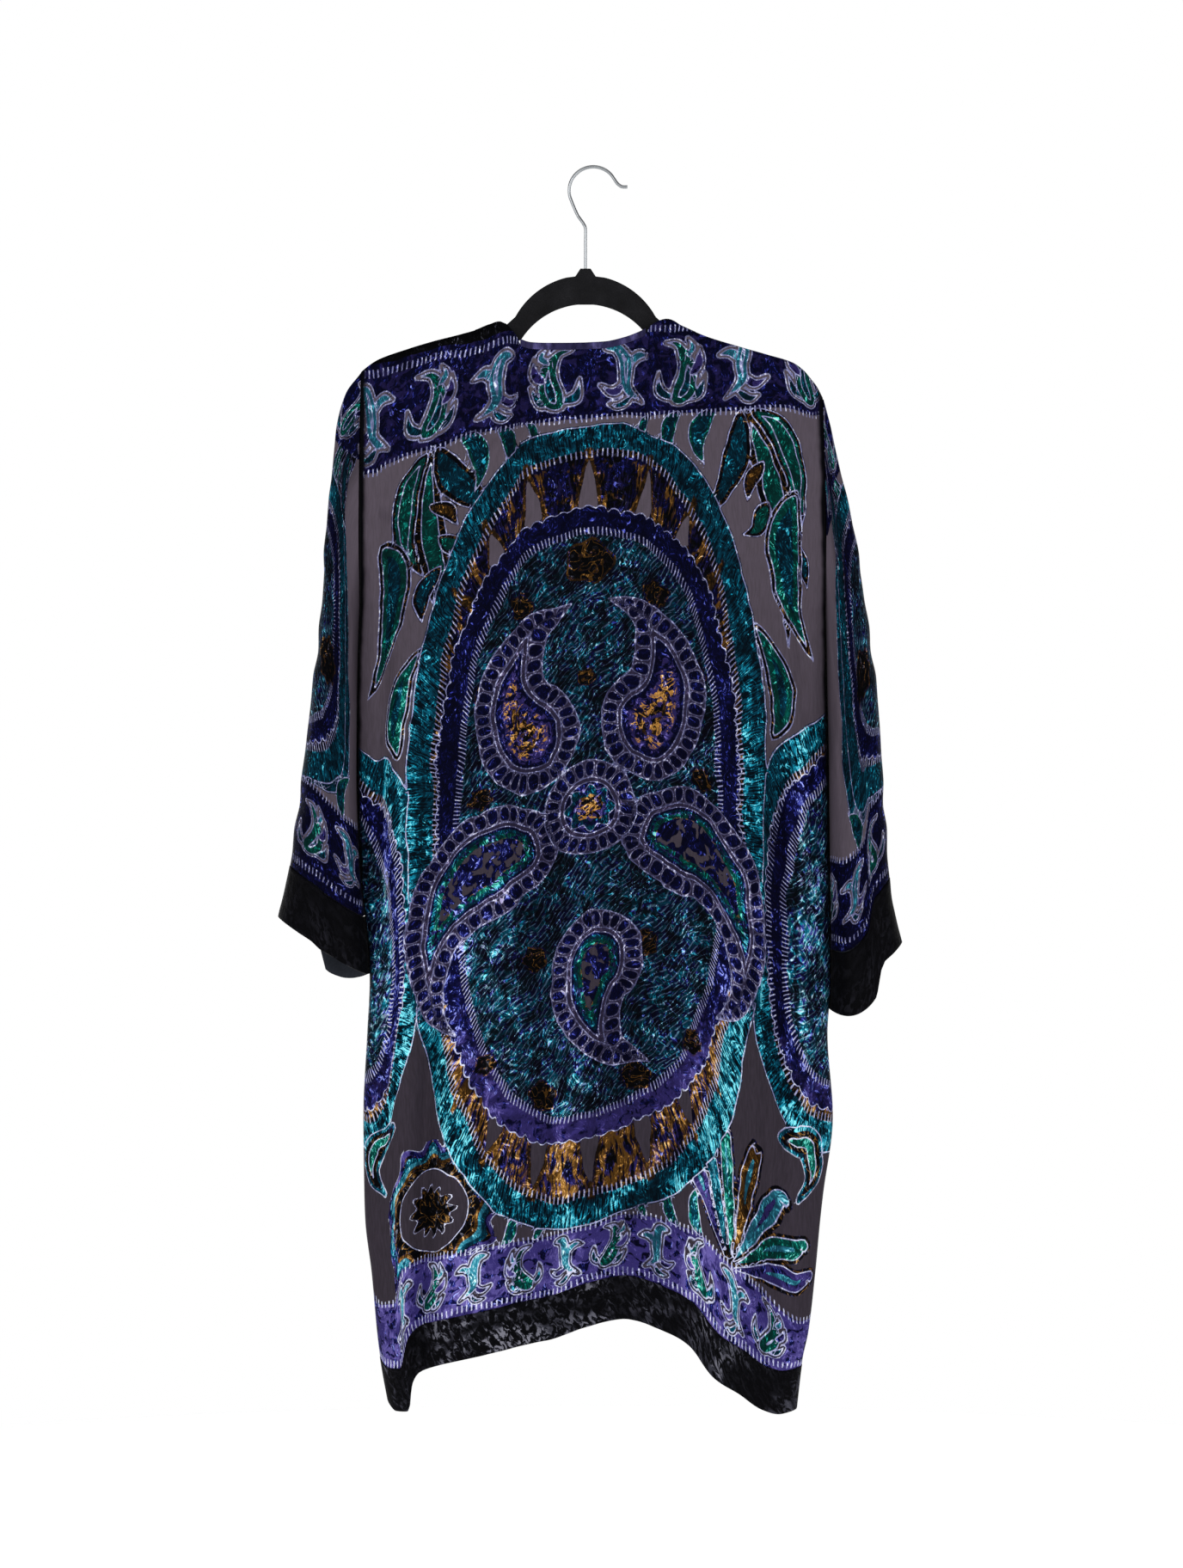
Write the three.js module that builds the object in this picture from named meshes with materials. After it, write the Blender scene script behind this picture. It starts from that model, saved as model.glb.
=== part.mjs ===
// A knee-length kimono-cut duster jacket of burnout velvet, hanging on a slim flocked hanger.
// Millimetres, +Z up. X runs across the shoulders. The garment's back faces -Y and its open front +Y,
// so the wearer's left is at -X. The origin is the top of the hook's inside, which rests on a rod.
// "down" is always the distance below that point.
import * as THREE from "three";

// Driving dimensions
const CLOTH = 1.6; // velvet wall
const DOUBLED = 2.4; // turned and doubled velvet of the borders, cuffs and front bands
const SEAM = 0.3; // gap at every seam
const STEM_X = -7.9; // the hanger's centre line, which swings a little off the hook's top
const BORDER = 44; // height of the plain hem border
const FRONT_BAND = 40; // width of each front band
const BINDING = 7; // height of the back neck binding
const ROLL = 6; // radius of the cloth where it rolls over the hanger
const UNDERARM = { left: 446, right: 450 }; // down to the underarm points
const CUFF_FROM = 0.905; // share of the sleeve's length where the cuff starts
const CUFF_SEAM = 0.0018; // the same share for the gap at the cuff's seam
const SAG_FROM = { left: 0.5, right: 0.6 }; // outward share from which a sleeve's ring no longer sags
const HEM_HALF = 206.5; // half the width of the hem
const NEAR_SHOULDER = 230; // down to a level just under the shoulders
const NEAR_HEM = 1250; // and to one close to the hem
const OPENS_BY = 110; // drop by which the body has opened to about two thirds of its depth
const ARMHOLE_DRAW = 0.45; // share of its depth that the body loses where it runs on into a sleeve
const FOLD_FADE = 110; // height over which a fold of the body begins and ends
const SLEEVE_FADE = 0.3; // share of a sleeve over which its own ring and its folds begin
const HANGER = {
  thick: 5,
  bevel: 1.2,
  halfSpan: 219,
  bossTop: 102.5, // the boss that holds the hook's stem
  bossTopHalf: 5.2,
  bossFootHalf: 10.5,
  arch: 82, // radius of the arch's upper side, and below that of its lower side
  archTop: 109.3,
  archFrom: 19.5, // out from the stem, where the arc starts and ends
  archTo: 72,
  innerArch: 78,
  innerTop: 139,
  innerFrom: 8,
  innerTo: 66,
};
const HOOK = { wire: 3.5, radius: 24.6, stemFoot: 102.2, stemHead: 62, loopFrom: 204, loopTo: 28 };

// Round the neck the cloth stands off the hanger, which comes out there: half the gap at the neck
// points, how much more it is at the stem, and the stretch out from the stem over which it closes.
const NECK_STAND = { half: 7, more: 5, end: 84, closed: 101 };

// How far down the body's top edge lies, out from the stem on either side: back neck, neck points and
// shoulders.
const TOP_LINE = [
  { out: 0, left: 180, right: 180 },
  { out: 20, left: 180.3, right: 178.8 },
  { out: 40, left: 180.2, right: 174.2 },
  { out: 55, left: 179.4, right: 168.4 },
  { out: 66, left: 176, right: 162.5 },
  { out: 74, left: 168, right: 157.5 },
  { out: 82, left: 159.5, right: 155 },
  { out: 89, left: 158, right: 156.8 },
  { out: 98, left: 160.3, right: 161.6 },
  { out: 112, left: 166, right: 168 },
  { out: 125, left: 169.8, right: 173.2 },
  { out: 157, left: 178, right: 183 },
  { out: 185, left: 186.6, right: 191 },
  { out: 211, left: 196, right: 199 },
  { out: 222, left: 203, right: 206.5 },
  { out: 231, left: 211, right: 217 },
  { out: 236, left: 218, right: 223.5 },
  { out: 242, left: 227, right: 235 },
];

// Side seams of the body, half its depth front to back, and how square its section is.
const BODY = [
  { down: 240, left: -237, right: 234, depth: 12, square: 10 },
  { down: 300, left: -237, right: 235, depth: 21, square: 9 },
  { down: 400, left: -237, right: 236, depth: 29, square: 6 },
  { down: 530, left: -240, right: 238, depth: 33, square: 4.5 },
  { down: 620, left: -241, right: 240, depth: 35, square: 3.6 },
  { down: 710, left: -238, right: 241, depth: 37, square: 3.2 },
  { down: 830, left: -228, right: 242.5, depth: 39, square: 3 },
  { down: 885, left: -230.5, right: 239, depth: 40, square: 2.9 },
  { down: 970, left: -234.5, right: 244.5, depth: 41, square: 2.8 },
  { down: 1050, left: -233.5, right: 234.5, depth: 42, square: 2.8 },
  { down: 1077, left: -232.5, right: 231.5, depth: 42.5, square: 2.8 },
  { down: 1130, left: -226, right: 226.5, depth: 43, square: 2.8 },
  { down: 1190, left: -220.5, right: 219.5, depth: 43.5, square: 2.8 },
  { down: 1218, left: -217, right: 213.5, depth: 44, square: 2.8 },
  { down: 1276, left: -206.5, right: 206.5, depth: 45, square: 2.8 },
];

// Lower edge of the garment, across the back and across the front.
const HEM_BACK = [
  { across: -206.5, down: 1260 },
  { across: -199, down: 1268 },
  { across: -187, down: 1267 },
  { across: -176, down: 1236 },
  { across: -167, down: 1226 },
  { across: -129, down: 1211 },
  { across: -79, down: 1199 },
  { across: -44, down: 1191 },
  { across: -7, down: 1176 },
  { across: 26, down: 1171 },
  { across: 70, down: 1184 },
  { across: 92, down: 1196 },
  { across: 120, down: 1229 },
  { across: 146, down: 1247 },
  { across: 170, down: 1264 },
  { across: 189, down: 1270 },
  { across: 206.5, down: 1268 },
];
const HEM_FRONT = [
  { across: -206.5, down: 1260 },
  { across: -170, down: 1229 },
  { across: -110, down: 1208 },
  { across: -38, down: 1193 },
  { across: 22, down: 1176 },
  { across: 66, down: 1186 },
  { across: 92, down: 1197 },
  { across: 120, down: 1230 },
  { across: 146, down: 1247 },
  { across: 170, down: 1263 },
  { across: 206.5, down: 1268 },
];

// Inner edge of each front band, out from the stem.
const FRONT_EDGE = [
  { down: 158, out: 74 },
  { down: 200, out: 67 },
  { down: 260, out: 57 },
  { down: 360, out: 44 },
  { down: 500, out: 35 },
  { down: 900, out: 31 },
  { down: 1280, out: 33 },
];

// The largest folds: ridges stand out from the body and troughs (out below 0) sink into it.
const FOLDS = [
  { side: "back", top: 430, bottom: 1300, xTop: -200, xBottom: -198, width: 17, out: 9 },
  { side: "back", top: 300, bottom: 700, xTop: -214, xBottom: -208, width: 9, out: -8 },
  { side: "back", top: 820, bottom: 1300, xTop: -163, xBottom: -180, width: 11, out: -17 },
  { side: "back", top: 640, bottom: 1300, xTop: -128, xBottom: -126, width: 34, out: 13 },
  { side: "back", top: 560, bottom: 1300, xTop: -62, xBottom: -58, width: 26, out: -9 },
  { side: "back", top: 500, bottom: 1300, xTop: -18, xBottom: -20, width: 24, out: 7 },
  { side: "back", top: 760, bottom: 1300, xTop: 52, xBottom: 40, width: 40, out: -18 },
  { side: "back", top: 560, bottom: 1300, xTop: 146, xBottom: 118, width: 26, out: 13 },
  { side: "back", top: 520, bottom: 1240, xTop: 184, xBottom: 176, width: 14, out: -12 },
  { side: "back", top: 500, bottom: 1150, xTop: 214, xBottom: 206, width: 12, out: 10 },
  { side: "back", top: 290, bottom: 620, xTop: 208, xBottom: 214, width: 9, out: -7 },
  { side: "front", top: 380, bottom: 1300, xTop: -196, xBottom: -186, width: 20, out: 8 },
  { side: "front", top: 520, bottom: 1300, xTop: -150, xBottom: -146, width: 18, out: -10 },
  { side: "front", top: 460, bottom: 1300, xTop: -104, xBottom: -106, width: 22, out: 8 },
  { side: "front", top: 620, bottom: 1300, xTop: 92, xBottom: 98, width: 24, out: 9 },
  { side: "front", top: 500, bottom: 1300, xTop: 142, xBottom: 138, width: 17, out: -10 },
  { side: "front", top: 400, bottom: 1300, xTop: 190, xBottom: 182, width: 20, out: 8 },
];

// Each sleeve from the armhole (along 0) to the cuff (1): its outer line over the shoulder, how far down
// its inner line is, which hangs against the side seam, its half depth, and how far its inner part sags
// at the back and at the front.
const SLEEVES = {
  left: [
    { along: 0, outX: -237.3, outDown: 210, inDown: 446, depth: 4, backSag: 0, frontSag: 0 },
    { along: 0.06, outX: -252.5, outDown: 231, inDown: 463, depth: 10, backSag: 0, frontSag: 0 },
    { along: 0.14, outX: -262, outDown: 266, inDown: 485, depth: 15, backSag: 0, frontSag: 0 },
    { along: 0.28, outX: -270.5, outDown: 350, inDown: 530, depth: 22, backSag: 0, frontSag: 4 },
    { along: 0.46, outX: -278, outDown: 452, inDown: 590, depth: 29, backSag: 0, frontSag: 8 },
    { along: 0.62, outX: -287, outDown: 545, inDown: 644, depth: 34, backSag: 1, frontSag: 13 },
    { along: 0.78, outX: -299, outDown: 640, inDown: 702, depth: 38, backSag: 2, frontSag: 18 },
    { along: 0.92, outX: -310, outDown: 722, inDown: 774, depth: 41, backSag: 2, frontSag: 25 },
    { along: 1, outX: -321, outDown: 765, inDown: 824, depth: 43, backSag: 3, frontSag: 29 },
  ],
  right: [
    { along: 0, outX: 234.8, outDown: 236.5, inDown: 450, depth: 4, backSag: 0, frontSag: 0 },
    { along: 0.06, outX: 239.5, outDown: 254, inDown: 468, depth: 9, backSag: 0, frontSag: 0 },
    { along: 0.14, outX: 247, outDown: 285, inDown: 496, depth: 14, backSag: 0, frontSag: 0 },
    { along: 0.28, outX: 262, outDown: 352, inDown: 545, depth: 21, backSag: 3, frontSag: 0 },
    { along: 0.46, outX: 278, outDown: 445, inDown: 610, depth: 28, backSag: 8, frontSag: 1 },
    { along: 0.62, outX: 289, outDown: 540, inDown: 670, depth: 33, backSag: 13, frontSag: 1 },
    { along: 0.78, outX: 296, outDown: 640, inDown: 735, depth: 37, backSag: 19, frontSag: 2 },
    { along: 0.92, outX: 302, outDown: 736, inDown: 808, depth: 40, backSag: 25, frontSag: 2 },
    { along: 1, outX: 315, outDown: 791, inDown: 860, depth: 42, backSag: 29, frontSag: 3 },
  ],
};

// Long folds of the sleeves. round is the place about the ring: 0.25 is the back and 0.75 the front.
const SLEEVE_FOLDS = [
  { hand: "left", round: 0.2, from: 0.3, width: 0.05, out: -7 },
  { hand: "left", round: 0.36, from: 0.45, width: 0.05, out: 4 },
  { hand: "left", round: 0.74, from: 0.35, width: 0.06, out: -8 },
  { hand: "right", round: 0.3, from: 0.3, width: 0.05, out: -7 },
  { hand: "right", round: 0.15, from: 0.5, width: 0.05, out: 4 },
  { hand: "right", round: 0.7, from: 0.35, width: 0.06, out: -8 },
];

const RING_ROUND = 0.75; // power of the sleeve's ring: 1 is an ellipse and less is squarer
const SAG_FADE = 0.12; // outward share over which the sag of a sleeve's ring ends

// Steps of the walls
const ROLL_ROWS = [0, 1, 3.5, 8, 18]; // drops of the first rows, which follow the roll over the hanger
const STEPS = { back: 32, front: 10, down: 24, ring: 20, sleeve: 13, cuff: 2, band: 3 };
const CROWDING = { back: 0.45, front: 0.6 }; // how much closer the steps are at the side seams, up to 1
const NECK = { first: 12, last: 19 }; // steps across the back where the neck binding starts and ends
const STEEP_HEM = 3; // how fast the gap at the hem border grows with the hem's slope

const mix = THREE.MathUtils.lerp;
const smooth = (x, from, to) => {
  const s = THREE.MathUtils.clamp((x - from) / (to - from), 0, 1);
  return s * s * (3 - 2 * s);
};

// A column of a table at a place in its key column, on a curve through the rows that never overshoots.
function read(table, key, column, at) {
  const x = table.map((row) => row[key]);
  const y = table.map((row) => row[column]);
  const last = table.length - 1;
  if (at <= x[0]) return y[0];
  if (at >= x[last]) return y[last];
  const i = x.findIndex((v) => v > at) - 1;
  const slope = (k) => (y[k + 1] - y[k]) / (x[k + 1] - x[k]);
  const tangent = (k) => {
    if (k === 0) return slope(0);
    if (k === last) return slope(last - 1);
    const [a, b] = [slope(k - 1), slope(k)];
    return a * b <= 0 ? 0 : (2 * a * b) / (a + b);
  };
  const h = x[i + 1] - x[i];
  const s = (at - x[i]) / h;
  const [s2, s3] = [s * s, s * s * s];
  return (
    y[i] * (2 * s3 - 3 * s2 + 1) +
    tangent(i) * h * (s3 - 2 * s2 + s) +
    y[i + 1] * (3 * s2 - 2 * s3) +
    tangent(i + 1) * h * (s3 - s2)
  );
}

const topDown = (x) => read(TOP_LINE, "out", x < STEM_X ? "left" : "right", Math.abs(x - STEM_X));
const armholeTop = (hand) => topDown(read(BODY, "down", hand, 0));

// Sum of the folds of one side of the body at a place.
function foldDepth(side, x, down) {
  let sum = 0;
  for (const fold of FOLDS) {
    if (fold.side !== side) continue;
    const share = (down - fold.top) / (fold.bottom - fold.top);
    const centre = mix(fold.xTop, fold.xBottom, THREE.MathUtils.clamp(share, 0, 1));
    const begun = smooth(down, fold.top, fold.top + FOLD_FADE);
    const ended = smooth(down, fold.bottom - FOLD_FADE, fold.bottom);
    sum += fold.out * begun * (1 - ended) * Math.exp(-(((x - centre) / fold.width) ** 2));
  }
  return sum;
}

// How open the side of the body is at the armhole, from 1 at the shoulder to 0 at the underarm.
function armholeOpening(hand, down) {
  const top = armholeTop(hand);
  const share = THREE.MathUtils.clamp((down - top) / (UNDERARM[hand] - top), 0, 1);
  return Math.sqrt(1 - share ** 3);
}

// A point of the body's cloth: q runs from -1 at the left side seam to 1 at the right one.
function bodyPoint(side, q, down) {
  const left = read(BODY, "down", "left", down);
  const right = read(BODY, "down", "right", down);
  const x = mix(left, right, (q + 1) / 2);
  const out = Math.abs(x - STEM_X);
  const drop = Math.max(down - topDown(x), 0);
  const open = armholeOpening(q < 0 ? "left" : "right", down);
  const square = read(BODY, "down", "square", down);
  const inside = Math.sqrt(Math.max(1 - Math.abs(q) ** square, 0));
  const roll = ROLL * Math.sqrt(1 - (1 - Math.min(drop, ROLL) / ROLL) ** 2) * mix(inside, 1, open);
  const armhole = 1 - ARMHOLE_DRAW * Math.abs(q) ** square;
  const standing = 1 - smooth(out, NECK_STAND.end, NECK_STAND.closed);
  const stand = NECK_STAND.half + NECK_STAND.more * Math.max(1 - (out / NECK_STAND.end) ** 2, 0);
  const ramp = 1 - Math.exp(-drop / OPENS_BY);
  const depth = read(BODY, "down", "depth", down) + foldDepth(side, x, down);
  const y = SEAM / 2 + mix(roll, stand, standing) + ramp * depth * mix(inside, armhole, open);
  return new THREE.Vector3(x, side === "back" ? -y : y, -down);
}

const qOf = (x, down) => {
  const left = read(BODY, "down", "left", down);
  const right = read(BODY, "down", "right", down);
  return (2 * x - left - right) / (right - left);
};

// Places across the back, closer together near the side seams.
const backAcross = (u) => {
  const linear = 2 * u - 1;
  return mix(linear, Math.sin((Math.PI / 2) * linear), CROWDING.back);
};
const underBinding = (u) => {
  const step = u * STEPS.back;
  return smooth(step, NECK.first - 1, NECK.first) * (1 - smooth(step, NECK.last, NECK.last + 1));
};
const neckline = (u) => topDown(bodyPoint("back", backAcross(u), NEAR_SHOULDER).x);
const backTop = (u) => neckline(u) + (BINDING + SEAM) * underBinding(u);
const backHem = (u) => read(HEM_BACK, "across", "down", backAcross(u) * HEM_HALF);

// Where a line whose x changes with its height meets the top edge, closed in on from a first guess.
function topOf(xAt) {
  let down = TOP_LINE[0].left;
  for (let round = 0; round < 12; round++) down = topDown(xAt(down));
  return down;
}

// Clear height at the hem border's seam, which grows where the hem is steep so the gap stays the same.
function hemSeam(hem, u, step) {
  const rise = (hem(Math.min(u + step, 1)) - hem(Math.max(u - step, 0))) / (2 * step * 2 * HEM_HALF);
  return SEAM * Math.hypot(1, STEEP_HEM * rise);
}

// Places across a front, from the inner edge of its band plus a width, to the side seam.
const sign = { left: -1, right: 1 };
const frontX = (hand, width, down) =>
  STEM_X + sign[hand] * (read(FRONT_EDGE, "down", "out", down) + width);
const frontAcross = (hand, u, down) => {
  const inner = qOf(frontX(hand, FRONT_BAND + SEAM, down), down);
  return mix(inner, sign[hand], mix(u, Math.sin((Math.PI / 2) * u), CROWDING.front));
};
const frontTop = (hand, u) => topOf((down) => bodyPoint("front", frontAcross(hand, u, down), down).x);
const frontHem = (hand, u) => {
  return read(HEM_FRONT, "across", "down", frontAcross(hand, u, NEAR_HEM) * HEM_HALF);
};

// Rows down a panel: the first ones follow the roll over the hanger, and the rest are even.
function rowDown(v, top, bottom) {
  const rollRows = ROLL_ROWS.length - 1;
  const row = v * STEPS.down;
  if (row <= rollRows) {
    const i = Math.min(Math.floor(row), rollRows - 1);
    return top + mix(ROLL_ROWS[i], ROLL_ROWS[i + 1], row - i);
  }
  return mix(top + ROLL_ROWS[rollRows], bottom, (row - rollRows) / (STEPS.down - rollRows));
}

// A point of a sleeve: round runs from the underarm over the back, outer line and front to the underarm.
function sleevePoint(hand, round, along) {
  const at = (column) => read(SLEEVES[hand], "along", column, along);
  const onBack = round <= 0.5;
  const angle = 2 * Math.PI * (onBack ? round : 1 - round);
  const outward = (1 - Math.cos(angle)) / 2; // 0 at the inner line and 1 at the outer one
  const bend = Math.max(Math.sin(angle), 0);
  const away = smooth(along, 0, SLEEVE_FADE); // how far the ring has come from the armhole's own shape

  const halfWalls = (CLOTH + (along < CUFF_FROM ? CLOTH : DOUBLED)) / 2;
  const innerX = read(BODY, "down", hand, at("inDown")) + sign[hand] * (2 * SEAM + halfWalls);
  const clear = sign[hand] * CLOTH * (outward - outward ** 3) * (1 - away);
  const x = mix(innerX, at("outX"), outward) + clear;

  const level = 1 - smooth(outward, SAG_FROM[hand], SAG_FROM[hand] + SAG_FADE);
  const sag = at(onBack ? "backSag" : "frontSag") * bend ** 2 * level;
  const down = mix(at("inDown"), at("outDown"), outward) + sag;

  let folds = 0;
  for (const fold of SLEEVE_FOLDS) {
    if (fold.hand !== hand) continue;
    const begun = smooth(along, fold.from, fold.from + SLEEVE_FADE);
    folds += fold.out * begun * Math.exp(-(((round - fold.round) / fold.width) ** 2));
  }
  const armholeDown = mix(UNDERARM[hand], armholeTop(hand), outward);
  const armhole = Math.abs(bodyPoint("back", sign[hand], armholeDown).y);
  const ring = SEAM / 2 + at("depth") * bend ** RING_ROUND + folds * bend;
  return new THREE.Vector3(x, (onBack ? -1 : 1) * mix(armhole, ring, away), -down);
}

// A wall of cloth of even thickness about a surface point(u, v), with us by vs points.
function wall(point, us, vs, thickness) {
  const step = 1e-4;
  const shell = [[], []];
  for (const v of vs)
    for (const u of us) {
      const p = point(u, v);
      const alongU = point(Math.min(u + step, us.at(-1)), v).sub(point(Math.max(u - step, us[0]), v));
      const alongV = point(u, Math.min(v + step, vs.at(-1))).sub(point(u, Math.max(v - step, vs[0])));
      const normal = alongU.cross(alongV).normalize();
      shell[0].push(p.clone().addScaledVector(normal, thickness / 2));
      shell[1].push(p.clone().addScaledVector(normal, -thickness / 2));
    }
  const [nu, nv, count] = [us.length, vs.length, us.length * vs.length];
  const faces = [];
  const quad = (a, b, c, d) => faces.push(a, b, c, a, c, d);
  const at = (i, j, layer) => layer * count + j * nu + i;
  for (let j = 0; j < nv - 1; j++)
    for (let i = 0; i < nu - 1; i++) {
      quad(at(i, j, 0), at(i + 1, j, 0), at(i + 1, j + 1, 0), at(i, j + 1, 0));
      quad(at(i, j + 1, 1), at(i + 1, j + 1, 1), at(i + 1, j, 1), at(i, j, 1));
    }
  for (let i = 0; i < nu - 1; i++) {
    quad(at(i, 0, 1), at(i + 1, 0, 1), at(i + 1, 0, 0), at(i, 0, 0));
    quad(at(i, nv - 1, 0), at(i + 1, nv - 1, 0), at(i + 1, nv - 1, 1), at(i, nv - 1, 1));
  }
  for (let j = 0; j < nv - 1; j++) {
    quad(at(0, j, 0), at(0, j + 1, 0), at(0, j + 1, 1), at(0, j, 1));
    quad(at(nu - 1, j, 1), at(nu - 1, j + 1, 1), at(nu - 1, j + 1, 0), at(nu - 1, j, 0));
  }
  const points = [...shell[0], ...shell[1]];
  let volume = 0;
  for (let k = 0; k < faces.length; k += 3) {
    const [a, b, c] = [points[faces[k]], points[faces[k + 1]], points[faces[k + 2]]];
    volume += a.dot(b.clone().cross(c));
  }
  if (volume < 0) faces.reverse();
  const geometry = new THREE.BufferGeometry().setFromPoints(points);
  geometry.setIndex(faces);
  geometry.computeVertexNormals();
  return geometry;
}

const steps = (n, from = 0, to = 1) => Array.from({ length: n + 1 }, (_, i) => mix(from, to, i / n));

// Materials
const fabric = (color, roughness) => new THREE.MeshStandardMaterial({ color, roughness, metalness: 0 });
const materials = {
  burnout: fabric(0x142a4a, 0.6),
  plain: fabric(0x0d0d10, 0.65),
  binding: fabric(0x4a4468, 0.7),
  flock: fabric(0x070707, 0.95),
  wire: new THREE.MeshStandardMaterial({ color: 0xb9bbbf, roughness: 0.2, metalness: 1 }),
};

const garment = new THREE.Group();
function add(name, geometry, material) {
  const mesh = new THREE.Mesh(geometry, material);
  mesh.name = name;
  garment.add(mesh);
}

function backPanel() {
  const point = (u, v) => {
    const bottom = backHem(u) - BORDER - hemSeam(backHem, u, 1 / STEPS.back);
    return bodyPoint("back", backAcross(u), rowDown(v, backTop(u), bottom));
  };
  return wall(point, steps(STEPS.back), steps(STEPS.down), CLOTH);
}

function frontPanel(hand) {
  const point = (u, v) => {
    const hem = (across) => frontHem(hand, across);
    const down = rowDown(v, frontTop(hand, u), hem(u) - BORDER - hemSeam(hem, u, 1 / STEPS.front));
    return bodyPoint("front", frontAcross(hand, u, down), down);
  };
  return wall(point, steps(STEPS.front), steps(STEPS.down), CLOTH);
}

// The front band runs from the neck point down the front's edge to the hem.
function frontBand(hand) {
  const point = (u, v) => {
    const top = topOf((down) => frontX(hand, u * FRONT_BAND, down));
    const bottom = read(HEM_FRONT, "across", "down", frontX(hand, u * FRONT_BAND, NEAR_HEM));
    const down = rowDown(v, top, bottom);
    return bodyPoint("front", qOf(frontX(hand, u * FRONT_BAND, down), down), down);
  };
  return wall(point, steps(STEPS.band), steps(STEPS.down), DOUBLED);
}

// One strip all round the hem, from front band to front band: u 0 to 1 is the left front, 1 to 2 the
// back and 2 to 3 the right front.
function hemBorder() {
  const point = (u, v) => {
    if (u >= 1 && u <= 2) {
      const hem = backHem(u - 1);
      return bodyPoint("back", backAcross(u - 1), mix(hem - BORDER, hem, v));
    }
    const hand = u < 1 ? "left" : "right";
    const across = u < 1 ? u : 3 - u;
    const hem = frontHem(hand, across);
    const down = mix(hem - BORDER, hem, v);
    return bodyPoint("front", frontAcross(hand, across, down), down);
  };
  const leftFront = steps(STEPS.front);
  const back = steps(STEPS.back, 1, 2).slice(1);
  const rightFront = steps(STEPS.front, 2, 3).slice(1);
  return wall(point, [...leftFront, ...back, ...rightFront], steps(2), DOUBLED);
}

// The binding has the same places across as the back, so that the seam under it is even.
function neckBinding() {
  const point = (u, v) => bodyPoint("back", backAcross(u), neckline(u) + v * BINDING);
  const us = steps(NECK.last - NECK.first, NECK.first / STEPS.back, NECK.last / STEPS.back);
  return wall(point, us, steps(1), DOUBLED);
}

function sleeve(hand) {
  const along = steps(STEPS.sleeve, 0, CUFF_FROM - CUFF_SEAM);
  return wall((u, v) => sleevePoint(hand, u, v), steps(STEPS.ring), along, CLOTH);
}

function cuff(hand) {
  return wall((u, v) => sleevePoint(hand, u, v), steps(STEPS.ring), steps(STEPS.cuff, CUFF_FROM, 1), DOUBLED);
}

// Flat flocked hanger: an arch at the neck and two arms along the shoulders, without a trouser bar. The
// cloth rests on its arms, so their tops follow the garment's top edge. A point is [out, down].
function hangerBody() {
  const { thick, bevel, halfSpan } = HANGER;
  const arcSteps = 8;
  const neck = [[82, 161], [90, 165.5]];
  const rests = [104, 112, 125, 140, 157, 185, 209];
  const tip = [[halfSpan - 2, 207], [halfSpan, 213.5], [halfSpan - 3, 222]];
  const underside = [[185, 213], [125, 195.5], [88, 185]];
  const arc = (top, radius, from, to) =>
    steps(arcSteps, from, to).map((out) => [out, top + radius - Math.sqrt(radius ** 2 - out ** 2)]);
  const half = (side) => {
    const onCloth = (out) => topDown(STEM_X + side * out) + DOUBLED / 2 + 2 * SEAM;
    const line = [
      [HANGER.bossTopHalf, HANGER.bossTop],
      [HANGER.bossFootHalf, HANGER.archTop + bevel],
      ...arc(HANGER.archTop, HANGER.arch, HANGER.archFrom, HANGER.archTo),
      ...neck,
      ...rests.map((out) => [out, onCloth(out)]),
      ...tip,
      ...underside,
      ...arc(HANGER.innerTop, HANGER.innerArch, HANGER.innerTo, HANGER.innerFrom),
    ];
    return line.map(([out, down]) => new THREE.Vector2(side * out, -down));
  };
  const shape = new THREE.Shape([...half(1), ...half(-1).reverse()]);
  const geometry = new THREE.ExtrudeGeometry(shape, {
    depth: thick - 2 * bevel,
    bevelThickness: bevel,
    bevelSize: bevel,
    bevelOffset: -bevel,
    bevelSegments: 1,
  });
  geometry.translate(0, 0, -(thick - 2 * bevel) / 2);
  geometry.rotateX(Math.PI / 2);
  geometry.translate(STEM_X, 0, 0);
  return geometry;
}

// Wire hook: a straight stem, a bend out to the left, a round loop over the rod and a turned-out tip.
function hangerHook() {
  const { wire, radius, stemFoot, stemHead, loopFrom, loopTo } = HOOK;
  const centre = wire / 2 - radius; // height of the loop's centre, so that its inner top is at 0
  const bend = [[-10.4, -56], [-16.2, -47.5]];
  const tip = [[24.8, -15.6], [29.3, -18.6], [35, -18.9]];
  const stem = steps(3, stemFoot, stemHead).map((down) => [STEM_X, -down]);
  const loop = steps(12, loopFrom, loopTo).map((angle) => {
    const a = THREE.MathUtils.degToRad(angle);
    return [radius * Math.cos(a), centre + radius * Math.sin(a)];
  });
  const points = [...stem, ...bend, ...loop, ...tip].map(([x, z]) => new THREE.Vector3(x, 0, z));
  const curve = new THREE.CatmullRomCurve3(points, false, "centripetal");
  const section = new THREE.Shape(new THREE.Path().absarc(0, 0, wire / 2, 0, 2 * Math.PI).getPoints(4));
  return new THREE.ExtrudeGeometry(section, { extrudePath: curve, steps: 48, bevelEnabled: false });
}

add("back", backPanel(), materials.burnout);
add("front_left", frontPanel("left"), materials.burnout);
add("front_right", frontPanel("right"), materials.burnout);
add("sleeve_left", sleeve("left"), materials.burnout);
add("sleeve_right", sleeve("right"), materials.burnout);
add("cuff_left", cuff("left"), materials.plain);
add("cuff_right", cuff("right"), materials.plain);
add("hem_border", hemBorder(), materials.plain);
add("front_band_left", frontBand("left"), materials.plain);
add("front_band_right", frontBand("right"), materials.plain);
add("neck_binding", neckBinding(), materials.binding);
add("hanger_body", hangerBody(), materials.flock);
add("hanger_hook", hangerHook(), materials.wire);

export default garment;
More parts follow.
